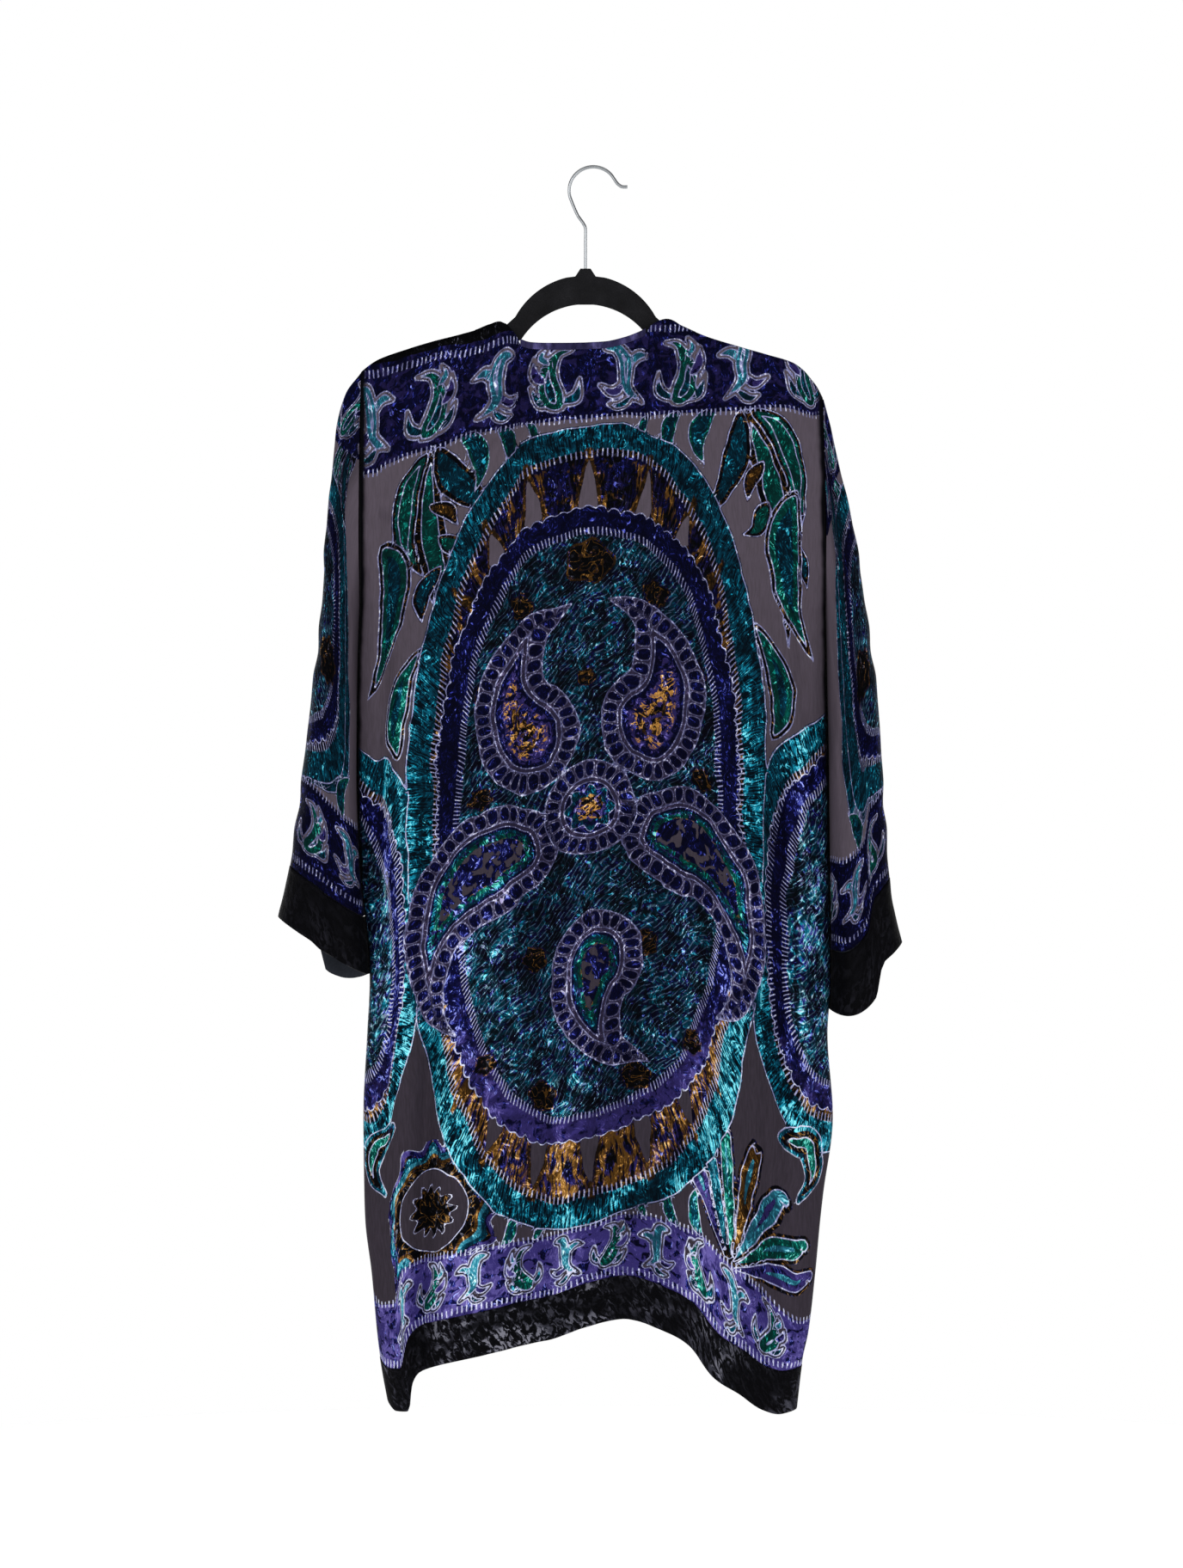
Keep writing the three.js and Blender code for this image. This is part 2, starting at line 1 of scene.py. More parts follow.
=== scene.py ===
"""A burnout velvet duster jacket that hangs by its hook, seen from behind, in soft studio light.

The shapes are worked out in millimetres. "down" is the distance below the origin, which is the top of
the hook's inside. The garment's back faces -Y and the wearer's left is at -X.
"""
import math

import bpy
import numpy as np
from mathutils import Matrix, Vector


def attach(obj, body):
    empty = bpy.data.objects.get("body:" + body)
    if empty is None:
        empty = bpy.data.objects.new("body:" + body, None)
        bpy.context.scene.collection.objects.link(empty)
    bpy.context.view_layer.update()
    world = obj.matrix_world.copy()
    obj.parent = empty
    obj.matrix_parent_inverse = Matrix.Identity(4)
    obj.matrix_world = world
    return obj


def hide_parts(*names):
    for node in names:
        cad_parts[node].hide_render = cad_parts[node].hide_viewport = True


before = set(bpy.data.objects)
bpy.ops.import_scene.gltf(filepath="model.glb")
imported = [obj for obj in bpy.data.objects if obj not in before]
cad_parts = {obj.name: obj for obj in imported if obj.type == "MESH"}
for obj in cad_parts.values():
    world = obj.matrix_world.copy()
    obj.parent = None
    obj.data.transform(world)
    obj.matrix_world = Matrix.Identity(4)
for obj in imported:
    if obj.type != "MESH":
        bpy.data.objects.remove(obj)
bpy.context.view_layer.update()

# Driving dimensions, as in the solids
MM = 0.001
CLOTH = 1.6
DOUBLED = 2.4
SEAM = 0.3
SEWN = 0.03  # gap left where a seam is drawn tight, so that no light shows through
SLEEVE_GAP = 0.1  # beside the body, so that nothing pale shows through
STEM_X = -7.9
BORDER = 44
FRONT_BAND = 40
BINDING = 7
ROLL = 6
UNDERARM = {"left": 446, "right": 450}
CUFF_FROM = 0.905
CUFF_SEAM = 0.0018
SAG_FROM = {"left": 0.5, "right": 0.6}
HEM_HALF = 206.5
NEAR_SHOULDER = 230
NEAR_HEM = 1250
OPENS_BY = 110
ARMHOLE_DRAW = 0.45
FOLD_FADE = 110
SLEEVE_FADE = 0.3
RING_ROUND = 0.75
SAG_FADE = 0.12
STAND_HALF, STAND_MORE, STAND_END, STAND_CLOSED = 7, 5, 84, 101
BACK_EASE, FRONT_EASE = 0.45, 0.6  # how far the steps across a panel close up towards its sides
ROLLED, ROLLED_SHARE, ROLLED_POWER = 18, 0.045, 1.6  # the part that rolls over the hanger
CREASED_BY = 60  # below the top edge
UNEVEN, WRINKLE = 1.5, 1.6  # of a sleeve's outer line, and around it
BINDING_ENDS, BINDING_FADE = (12 / 32, 19 / 32), 0.2 / 32  # shares of the back's width
VALLEY, SWINGS_CLEAR = 5, (700, 900)  # between a sleeve and the body
SIGN = {"left": -1, "right": 1}

# The photograph's view
CAMERA_X, CAMERA_DOWN, CAMERA_AWAY = -1.76, 630, 3200
FRAME_HEIGHT = 1605
SENSOR = 36

# How bright the room is up to eye level and overhead, and the heights between which it changes
WORLD_LEVEL, WORLD_ABOVE = 1.0, 0.1
CHANGE_FROM, CHANGE_TO = 0.26, 0.5

# Cells of the finest grids and of the others, in mm
CELL, WIDE_CELL = 2.6, 3

# Widths and lengths of the pieces that the cells are counted over
BACK_WIDE, FRONT_WIDE, BODY_LONG, BAND_LONG = 480, 176, 1060, 1100
SLEEVE_ROUND, SLEEVE_LONG, CUFF_ROUND, CUFF_LONG = 430, 520, 330, 50


def table(text):
    """Columns of numbers by name, from rows of text under their names."""
    names, *rows = [line.split() for line in text.strip().splitlines()]
    return dict(zip(names, np.array(rows, float).T))


TOP_LINE = table("""
out left right
0 180 180
20 180.3 178.8
40 180.2 174.2
55 179.4 168.4
66 176 162.5
74 168 157.5
82 159.5 155
89 158 156.8
98 160.3 161.6
112 166 168
125 169.8 173.2
157 178 183
185 186.6 191
211 196 199
222 203 206.5
231 211 217
236 218 223.5
242 227 235
""")
BODY = table("""
down left right depth square
240 -237 234 12 10
300 -237 235 21 9
400 -237 236 29 6
530 -240 238 33 4.5
620 -241 240 35 3.6
710 -238 241 37 3.2
830 -228 242.5 39 3
885 -230.5 239 40 2.9
970 -234.5 244.5 41 2.8
1050 -233.5 234.5 42 2.8
1077 -232.5 231.5 42.5 2.8
1130 -226 226.5 43 2.8
1190 -220.5 219.5 43.5 2.8
1218 -217 213.5 44 2.8
1276 -206.5 206.5 45 2.8
""")
HEM_BACK = table("""
across down
-206.5 1260
-199 1268
-187 1267
-176 1236
-167 1226
-129 1211
-79 1199
-44 1191
-7 1176
26 1171
70 1184
92 1196
120 1229
146 1247
170 1264
189 1270
206.5 1268
""")
HEM_FRONT = table("""
across down
-206.5 1260
-170 1229
-110 1208
-38 1193
22 1176
66 1186
92 1197
120 1230
146 1247
170 1263
206.5 1268
""")
FRONT_EDGE = table("""
down out
158 74
200 67
260 57
360 44
500 35
900 31
1280 33
""")
FOLDS = {
    "back": table("""
top bottom x_top x_bottom width out
430 1300 -200 -198 17 9
300 700 -214 -208 9 -8
820 1300 -163 -180 11 -17
640 1300 -128 -126 34 13
560 1300 -62 -58 26 -9
500 1300 -18 -20 24 7
760 1300 52 40 40 -18
560 1300 146 118 26 13
520 1240 184 176 14 -12
500 1150 214 206 12 10
290 620 208 214 9 -7
"""),
    "front": table("""
top bottom x_top x_bottom width out
380 1300 -196 -186 20 8
520 1300 -150 -146 18 -10
460 1300 -104 -106 22 8
620 1300 92 98 24 9
500 1300 142 138 17 -10
400 1300 190 182 20 8
"""),
}
SLEEVES = {
    "left": table("""
along out_x out_down in_down depth back_sag front_sag
0 -237.3 210 446 4 0 0
0.06 -252.5 231 463 10 0 0
0.14 -262 266 485 15 0 0
0.28 -270.5 350 530 22 0 4
0.46 -278 452 590 29 0 8
0.62 -287 545 644 34 1 13
0.78 -299 640 702 38 2 18
0.92 -310 722 774 41 2 25
1 -321 765 824 43 3 29
"""),
    "right": table("""
along out_x out_down in_down depth back_sag front_sag
0 234.8 236.5 450 4 0 0
0.06 239.5 254 468 9 0 0
0.14 247 285 496 14 0 0
0.28 262 352 545 21 3 0
0.46 278 445 610 28 8 1
0.62 289 540 670 33 13 1
0.78 296 640 735 37 19 2
0.92 302 736 808 40 25 2
1 315 791 860 42 29 3
"""),
}
SLEEVE_FOLDS = {
    "left": table("""
round start width out
0.2 0.3 0.05 -7
0.36 0.45 0.05 4
0.74 0.35 0.06 -8
"""),
    "right": table("""
round start width out
0.3 0.3 0.05 -7
0.15 0.5 0.05 4
0.7 0.35 0.06 -8
"""),
}

# Finer creases of the body, which only show here: soft ridges and troughs (out below 0) that run from
# one place to another, with a bow to the side halfway.
CREASES = {
    "back": table("""
x top x_end bottom bow width out
-222 330 -226 560 3 6 2.2
-205 420 -214 820 -6 7 -2.4
-186 470 -190 780 4 8 1.8
-168 560 -176 960 -5 7 -2.0
-150 760 -150 1180 8 9 2.6
-112 820 -98 1160 -8 10 -2.6
-92 640 -84 900 5 9 1.4
-44 900 -30 1150 6 11 2.4
12 820 2 1130 -7 12 -2.2
136 840 -20 1090 26 15 4.2
120 880 0 1110 24 11 -3.2
78 980 96 1170 6 9 2.6
112 700 124 1010 -6 9 -2.0
160 560 166 900 5 8 2.4
172 720 158 1140 -8 8 -2.6
196 540 196 960 4 6 2.6
206 600 210 1010 -3 5 -2.4
224 470 222 900 3 5 2.4
-30 196 -110 246 -6 9 -1.2
60 190 150 240 7 10 -1.2
-226 250 -150 226 6 9 1.2
196 236 120 215 -6 9 1.2
"""),
    "front": table("""
x top x_end bottom bow width out
-206 400 -214 820 6 8 -2.2
-176 430 -170 900 -6 9 2.2
-128 560 -122 1130 7 9 -2.4
-84 640 -88 1100 5 9 2.0
76 560 70 1060 -6 9 2.2
118 460 120 1000 7 9 -2.2
164 520 160 1120 -7 9 2.4
206 430 204 940 5 8 -2.2
"""),
}
CRUMPLE = 0.5  # mm of fine unevenness in crushed velvet


def mix(a, b, share):
    return a + (b - a) * share


def smooth(x, start, end):
    share = np.clip((x - start) / (end - start), 0, 1)
    return share * share * (3 - 2 * share)


def read(rows, key, column, at):
    """A column of a table at a place in its key column, on a curve that never overshoots."""
    x, y = rows[key], rows[column]
    h = np.diff(x)
    slope = np.diff(y) / h
    before, after = slope[:-1], slope[1:]
    same = before * after > 0
    inner = np.where(same, 2 * before * after / np.where(same, before + after, 1), 0)
    tangent = np.concatenate([slope[:1], inner, slope[-1:]])
    at = np.clip(at, x[0], x[-1])
    i = np.clip(np.searchsorted(x, at, side="right") - 1, 0, len(x) - 2)
    share = (at - x[i]) / h[i]
    square, cube = share**2, share**3
    return (
        y[i] * (2 * cube - 3 * square + 1)
        + tangent[i] * h[i] * (cube - 2 * square + share)
        + y[i + 1] * (3 * square - 2 * cube)
        + tangent[i + 1] * h[i] * (cube - square)
    )


def noise(x, y, size, seed):
    """Smooth noise from -1 to 1 with bumps of a size in mm."""
    cells = 256
    lattice = np.random.default_rng(seed).uniform(-1, 1, (cells, cells))
    u, v = x / size, y / size
    i, j = np.floor(u).astype(int), np.floor(v).astype(int)
    p, q = smooth(u - i, 0, 1), smooth(v - j, 0, 1)
    left, right, near, far = i % cells, (i + 1) % cells, j % cells, (j + 1) % cells
    low = mix(lattice[left, near], lattice[right, near], p)
    high = mix(lattice[left, far], lattice[right, far], p)
    return mix(low, high, q)


def body_at(column, down):
    return read(BODY, "down", column, down)


def crumpled(x, down, seed):
    """Fine unevenness of the crushed pile."""
    return CRUMPLE * (noise(x, down, 15, seed) + 0.6 * noise(x, down, 7, seed + 1))


def top_down(x):
    out = np.abs(x - STEM_X)
    return np.where(x < STEM_X, read(TOP_LINE, "out", "left", out), read(TOP_LINE, "out", "right", out))


def armhole_top(hand):
    return top_down(body_at(hand, 0.0))


def armhole_opening(hand, down):
    top = armhole_top(hand)
    share = np.clip((down - top) / (UNDERARM[hand] - top), 0, 1)
    return np.sqrt(1 - share**3)


def fold_depth(side, x, down):
    """Depth of the large folds at a place."""
    folds = FOLDS[side]
    total = np.zeros_like(x)
    for top, bottom, x_top, x_bottom, width, out in zip(*folds.values()):
        centre = mix(x_top, x_bottom, np.clip((down - top) / (bottom - top), 0, 1))
        window = smooth(down, top, top + FOLD_FADE) * (1 - smooth(down, bottom - FOLD_FADE, bottom))
        total += out * window * np.exp(-(((x - centre) / width) ** 2))
    return total


def crease_depth(side, x, down, narrow=1):
    """Depth of the finer creases and of the crumpled pile."""
    total = crumpled(x, down, 3)
    for x0, top, x1, bottom, bow, width, out in zip(*CREASES[side].values()):
        length = math.hypot(x1 - x0, bottom - top)
        along_x, along_down = (x1 - x0) / length, (bottom - top) / length
        along = (x - x0) * along_x + (down - top) * along_down
        share = np.clip(along / length, 0, 1)
        aside = (x - x0) * along_down - (down - top) * along_x - bow * np.sin(math.pi * share)
        window = smooth(along, 0, length / 3) * (1 - smooth(along, 2 * length / 3, length))
        total += out * window * np.exp(-((aside / (width * narrow)) ** 2))
    return total


def body_point(side, q, down):
    """A point of the body's cloth: q runs from -1 at the left side seam to 1 at the right one."""
    q, down = np.broadcast_arrays(np.asarray(q, float), np.asarray(down, float))
    x = mix(body_at("left", down), body_at("right", down), (q + 1) / 2)
    out = np.abs(x - STEM_X)
    drop = np.maximum(down - top_down(x), 0)
    opened = np.where(q < 0, armhole_opening("left", down), armhole_opening("right", down))
    edge = np.abs(q) ** body_at("square", down)
    inside = np.sqrt(np.maximum(1 - edge, 0))
    roll = ROLL * np.sqrt(1 - (1 - np.minimum(drop, ROLL) / ROLL) ** 2) * mix(inside, 1, opened)
    armhole = 1 - ARMHOLE_DRAW * edge
    standing = 1 - smooth(out, STAND_END, STAND_CLOSED)
    stand = STAND_HALF + STAND_MORE * np.maximum(1 - (out / STAND_END) ** 2, 0)
    ramp = 1 - np.exp(-drop / OPENS_BY)
    depth = body_at("depth", down) + fold_depth(side, x, down)
    creases = crease_depth(side, x, down) * smooth(drop, 0, CREASED_BY) * inside
    y = SEAM / 2 + mix(roll, stand, standing) + ramp * depth * mix(inside, armhole, opened) + creases
    return np.stack([x, -y if side == "back" else y, -down], -1)


def q_of(x, down):
    left, right = body_at("left", down), body_at("right", down)
    return (2 * x - left - right) / (right - left)


def back_across(u):
    linear = 2 * u - 1
    return mix(linear, np.sin(math.pi / 2 * linear), BACK_EASE)


def neckline(u):
    return top_down(body_point("back", back_across(u), NEAR_SHOULDER)[..., 0])


def back_hem(u):
    return read(HEM_BACK, "across", "down", back_across(u) * HEM_HALF)


def front_x(hand, width, down):
    return STEM_X + SIGN[hand] * (read(FRONT_EDGE, "down", "out", down) + width)


def front_across(hand, u, down):
    inner = q_of(front_x(hand, FRONT_BAND + SEWN, down), down)
    return mix(inner, SIGN[hand], mix(u, np.sin(math.pi / 2 * u), FRONT_EASE))


def front_hem(hand, u):
    return read(HEM_FRONT, "across", "down", front_across(hand, u, NEAR_HEM) * HEM_HALF)


def top_of(x_at):
    """Where a line whose x changes with its height meets the top edge."""
    down = np.asarray(180.0)
    for _ in range(12):
        down = top_down(x_at(down))
    return down


def seam_above(hem, u):
    """Clear height at the hem border's seam, which grows where the hem is steep."""
    step = 0.02
    rise = (hem(np.minimum(u + step, 1)) - hem(np.maximum(u - step, 0))) / (4 * step * HEM_HALF)
    return SEWN * np.hypot(1, 3 * rise)


def row_down(v, top, bottom):
    """Rows down a panel, closer together where it rolls over the hanger."""
    first = top + ROLLED * (np.minimum(v, ROLLED_SHARE) / ROLLED_SHARE) ** ROLLED_POWER
    rest = mix(top + ROLLED, bottom, (v - ROLLED_SHARE) / (1 - ROLLED_SHARE))
    return np.where(v < ROLLED_SHARE, first, rest)


def sleeve_point(hand, round_, along):
    """A point of a sleeve: round_ runs from the underarm over the back, outer line and front."""
    round_, along = np.broadcast_arrays(np.asarray(round_, float), np.asarray(along, float))
    rows = SLEEVES[hand]

    def at(column):
        return read(rows, "along", column, along)

    on_back = round_ <= 0.5
    angle = 2 * math.pi * np.where(on_back, round_, 1 - round_)
    outward = (1 - np.cos(angle)) / 2
    bend = np.maximum(np.sin(angle), 0)
    away = smooth(along, 0, SLEEVE_FADE)
    half_walls = (CLOTH + np.where(along < CUFF_FROM - CUFF_SEAM / 2, CLOTH, DOUBLED)) / 2
    inner_x = body_at(hand, at("in_down")) + SIGN[hand] * (SLEEVE_GAP + half_walls)
    clear = SIGN[hand] * CLOTH * (outward - outward**3) * (1 - away)
    uneven = UNEVEN * noise(at("out_down"), round_ * 0, 26, 71) * away * outward**4
    x = mix(inner_x, at("out_x"), outward) + clear + SIGN[hand] * uneven
    level = 1 - smooth(outward, SAG_FROM[hand], SAG_FROM[hand] + SAG_FADE)
    sag = np.where(on_back, at("back_sag"), at("front_sag")) * bend**2 * level
    down = mix(at("in_down"), at("out_down"), outward) + sag
    folds = np.zeros_like(x)
    for place, start, width, out in zip(*SLEEVE_FOLDS[hand].values()):
        begun = smooth(along, start, start + SLEEVE_FADE)
        folds += out * begun * np.exp(-(((round_ - place) / width) ** 2))
    armhole_down = mix(UNDERARM[hand], armhole_top(hand), outward)
    armhole = np.abs(body_point("back", np.full_like(x, SIGN[hand]), armhole_down)[..., 1])
    fine = away * (crumpled(x, down, 5) + WRINKLE * noise(300 * round_, down * 0.3, 12, 7))
    ring = SEAM / 2 + at("depth") * bend**RING_ROUND + (folds + fine) * bend
    y = mix(armhole, ring, away)
    return np.stack([x, np.where(on_back, -y, y), -down], -1)


# Prints

REACH = 14.0  # mm up to which a print's distances are kept
COLOURS = ("sheer", "teal", "cyan", "green", "violet", "ochre", "black", "chain", "hatch")
YOKE = (176, 258)  # the yoke band's dashed edges, down the cloth
HEM_BAND = (1088, 1142)
SLEEVE_BAND, SLEEVE_END = (-192, -112), 100  # places up the sleeve from SLEEVE_END below its end
MEDALLION = dict(centre=(0, 676), outer=(198, 411), inner=(146, 302))
OVAL = 2.5  # power of the ovals' outlines, which is 2 in an ellipse
RIM = 28
CHAIN = 22  # width of the chain borders
BEAD = 13  # from one bead of a chain to the next
SCALLOP = 15
PETAL_HALF, PETAL_TIP, PETAL_ROOM = 11, 0.86, 22
DASH, RING_DASH = 5.2, 5  # from one dash to the next, along the bands and about the ovals
ROW, LEAN, STROKE = 14, 0.95, 6.8  # rows of slanted strokes: their height, slant and pitch
PRINT_X = -4  # the print's middle line on the body
FRONT_YOKE = (178, 262)  # heights of the yoke's edges on the fronts
BAND_CLEAR = 5  # between the hem band's lower edge and the seam

YOKE_LINES = table("""
x upper lower
-221 212 317
-208 208 304
-190 202 294
-156 193 286
-120 186 275
-82 178 267
-26 174 260
8 173 256.5
77 166 253
135 166 249
193 165 245
224 170 254
""")
BAND_HEIGHT = table("""
x height
-206 60
-130 56
0 54
60 58
120 70
160 66
206 46
""")


def smooth_path(points, steps=7):
    """A curve through points, by uniform Catmull-Rom pieces."""
    p = np.array(points, float)
    ends = np.concatenate([[2 * p[0] - p[1]], p, [2 * p[-1] - p[-2]]])
    t = np.linspace(0, 1, steps, endpoint=False)[:, None]
    pieces = []
    for a, b, c, d in zip(ends, ends[1:], ends[2:], ends[3:]):
        bend = 2 * a - 5 * b + 4 * c - d + t * (3 * (b - c) + d - a)
        pieces.append(b + 0.5 * t * (c - a + t * bend))
    return np.concatenate(pieces + [p[-1:]])


# Half widths of shapes along their spines: places from 0 to 1, and shares of the full half width
PROFILES = {
    "paisley": (
        (0, 0.015, 0.05, 0.1, 0.18, 0.3, 0.45, 0.6, 0.75, 0.88, 1),
        (0, 0.3, 0.55, 0.78, 0.95, 1, 0.86, 0.6, 0.36, 0.2, 0),
    ),
    "leaf": ((0, 0.05, 0.2, 0.4, 0.6, 0.8, 1), (0, 0.35, 0.8, 1, 0.85, 0.45, 0)),
    "petal": ((0, 0.2, 0.45, 0.7, 0.88, 0.96, 1), (0.1, 0.35, 0.75, 1, 0.8, 0.5, 0)),
}


def leaf_outline(spine, half, profile):
    """Closed outline of a leaf, petal or paisley, from its curved spine and its half width."""
    path = smooth_path(spine)
    step = np.hypot(*np.diff(path, axis=0).T)
    share = np.concatenate([[0], np.cumsum(step)]) / step.sum()
    tangent = np.gradient(path, axis=0)
    tangent /= np.hypot(*tangent.T)[:, None]
    normal = np.stack([-tangent[:, 1], tangent[:, 0]], 1)
    width = half * np.interp(share, *PROFILES[profile])[:, None]
    return np.concatenate([path + normal * width, (path - normal * width)[-2:0:-1]])


def outline_field(points, outline):
    """Signed distance to a closed outline, above 0 inside, and the length along it."""
    start, end = outline, np.roll(outline, -1, 0)
    edge = end - start
    length = np.maximum(np.hypot(*edge.T), 1e-6)
    gone = np.concatenate([[0], np.cumsum(length)[:-1]])
    to_point = points[:, None, :] - start
    share = np.clip((to_point * edge).sum(-1) / length**2, 0, 1)
    gap = np.hypot(*np.moveaxis(to_point - share[..., None] * edge, -1, 0))
    nearest = gap.argmin(1)
    each = np.arange(len(points))
    py, px = points[:, 1:2], points[:, 0:1]
    crosses = (start[:, 1] > py) != (end[:, 1] > py)
    rise = np.where(np.abs(edge[:, 1]) < 1e-9, 1e-9, edge[:, 1])
    inside = (crosses & (px < edge[:, 0] * (py - start[:, 1]) / rise + start[:, 0])).sum(1) % 2
    distance = gap[each, nearest] * np.where(inside == 1, 1, -1)
    return distance, gone[nearest] + share[each, nearest] * length[nearest]


class Print:
    """The print of a panel: at each point, signed distances in mm to what is printed."""

    def __init__(self, s, t):
        self.at = np.stack([s.ravel(), t.ravel()], 1)
        count = len(self.at)
        self.colour = {name: np.full(count, -REACH) for name in COLOURS}
        self.line = {name: np.full(count, REACH) for name in "abc"}
        self.beads = np.full((count, 3), -REACH)
        self.rings = np.stack([np.full(count, -REACH), np.full(count, REACH), np.zeros(count)], 1)

    def paint(self, colour, inside, where=slice(None)):
        """Lays one colour over all others where a field is above 0. Navy is where there is no other."""
        for name, field in self.colour.items():
            if name == colour:
                field[where] = np.maximum(field[where], inside)
            else:
                field[where] = np.minimum(field[where], -inside)
        for line in self.line.values():
            now = line[where]
            pushed = np.copysign(np.maximum(np.abs(now), inside), now)
            line[where] = np.where(inside > 0, pushed, now)
        self.beads[where, 2] = np.maximum(self.beads[where, 2], inside)

    def rule(self, name, field, where=slice(None)):
        """Adds a thin pale line where a field is 0."""
        now = self.line[name][where]
        self.line[name][where] = np.where(np.abs(field) < np.abs(now), field, now)

    def near(self, low, high, reach=REACH + 8):
        inside = (self.at > np.asarray(low) - reach) & (self.at < np.asarray(high) + reach)
        return np.flatnonzero(inside.all(1))

    def shape(self, outline, fills, lines=(), chain=False):
        """A closed shape, filled in the colours given with how far each one goes past its outline."""
        where = self.near(outline.min(0), outline.max(0))
        if not len(where):
            return
        field, along = outline_field(self.at[where], outline)
        for colour, grow in fills:
            self.paint(colour, field + grow, where)
        for name, grow in lines:
            self.rule(name, (field + grow) * (-1 if grow < 0 else 1), where)
        if chain:
            closer = field > self.beads[where, 0]
            self.beads[where[closer], 0] = field[closer]
            self.beads[where[closer], 1] = along[closer]

    def leaf(self, spine, half, profile, *drawn, **more):
        self.shape(leaf_outline(spine, half, profile), *drawn, **more)

    def motif(self, leaves, place, turn=0.0, size=1.0, mirror=1, halo=0):
        """A group of leaves, moved to a place. Each leaf is (spine, half, profile, fills, lines)."""
        c, s = math.cos(math.radians(turn)) * size, math.sin(math.radians(turn)) * size
        moved = []
        for spine, half, *rest in leaves:
            turned = [(c * x - s * y, s * x + c * y) for x, y in spine]
            spine = [(place[0] + mirror * x, place[1] + y) for x, y in turned]
            moved.append((spine, half * size, *rest))
        if halo:
            self.halo(moved, halo)
        for leaf in moved:
            self.leaf(*leaf)

    def halo(self, leaves, width):
        """Burns out the pile around a group of leaves, with a pale line about it."""
        outlines = [leaf_outline(*leaf[:3]) for leaf in leaves]
        every = np.concatenate(outlines)
        where = self.near(every.min(0), every.max(0))
        if len(where):
            fields = [outline_field(self.at[where], outline)[0] for outline in outlines]
            field = np.max(fields, 0) + width
            self.paint("sheer", field, where)
            self.rule("b", field, where)

    def rosette(self, place, radius, petals, layers, turn=0.0):
        """Rings of petals: each layer is (colour, share of the radius, depth of the petals)."""
        place = np.asarray(place, float)
        where = self.near(place - radius, place + radius)
        x, y = (self.at[where] - place).T
        r, angle = np.hypot(x, y), np.arctan2(y, x)
        waves = np.cos(petals * angle + turn) + 0.4 * np.cos(2 * angle - turn)
        for colour, share, wave in layers:
            edge = radius * share * (1 + wave * waves)
            if colour.startswith("line"):
                self.rule(colour[-1], edge - r, where)
            else:
                self.paint(colour, edge - r, where)

    def attributes(self):
        fields, lines = np.stack(list(self.colour.values()), 1), np.stack(list(self.line.values()), 1)
        colours = {"print_a": fields[:, :3], "print_b": fields[:, 3:6], "print_c": fields[:, 6:]}
        return colours | {"lines": lines, "gaps": np.abs(lines), "beads": self.beads, "rings": self.rings}


def oval_field(s, t, half):
    """Distance inside an oval, above 0 inside."""
    a, b = half
    p, q = np.abs(s) / a, np.abs(t) / b
    rho = np.maximum((p**OVAL + q**OVAL) ** (1 / OVAL), 1e-3)
    slope = rho ** (1 - OVAL) * np.hypot(p ** (OVAL - 1) / a, q ** (OVAL - 1) / b)
    return (1 - rho) / np.maximum(slope, 1e-4)


def oval_length(s, t, half):
    """Length along an oval from its top, down either side alike, and the whole of one side."""
    a, b = half
    theta = np.linspace(-math.pi / 2, math.pi / 2, 400)
    x = a * np.cos(theta) ** (2 / OVAL)
    y = b * np.sign(theta) * np.abs(np.sin(theta)) ** (2 / OVAL)
    length = np.concatenate([[0], np.cumsum(np.hypot(np.diff(x), np.diff(y)))])
    at = np.arctan2(np.sign(t) * (np.abs(t) / b) ** (OVAL / 2), (np.abs(s) / a) ** (OVAL / 2))
    return np.interp(at, theta, length), length[-1]


def paint_medallion(cloth, centre, outer, inner, petals):
    """A tall oval with a teal rim, a ring of sheer petals and a scalloped inner field of hatching."""
    s, t = (cloth.at - np.asarray(centre, float)).T
    out, within = oval_field(s, t, outer), oval_field(s, t, inner)
    along, side = oval_length(s, t, ((outer[0] + inner[0]) / 2, (outer[1] + inner[1]) / 2))
    cloth.paint("teal", out)
    cloth.rule("a", out - 1.2)
    cloth.paint("black", out - RIM)
    pitch = side / petals
    aside = np.abs(along / pitch - np.round(along / pitch)) * pitch
    scallops = 16 + 5.5 * np.sqrt(np.abs(np.cos(math.pi * along / SCALLOP)))
    height = np.maximum(out - within - RIM - scallops, 1)
    risen = -(within + scallops)
    share = np.clip(risen / height, 0, PETAL_TIP) / PETAL_TIP
    petal = PETAL_HALF * (1 - share**1.4) - aside
    petal = np.minimum(petal, np.minimum((PETAL_TIP * height - risen) / 3, height - PETAL_ROOM))
    petal = np.minimum(petal, risen + 2)
    cloth.paint("ochre", np.minimum(petal + 4, risen + 8))
    cloth.paint("sheer", petal)
    cloth.paint("navy", within + scallops)
    cloth.rule("c", within + scallops)
    cloth.paint("hatch", within - 7)
    here = out > -4
    cloth.rings[here] = np.stack([out, within, along], 1)[here]
    cloth.beads[here, 2] = -REACH


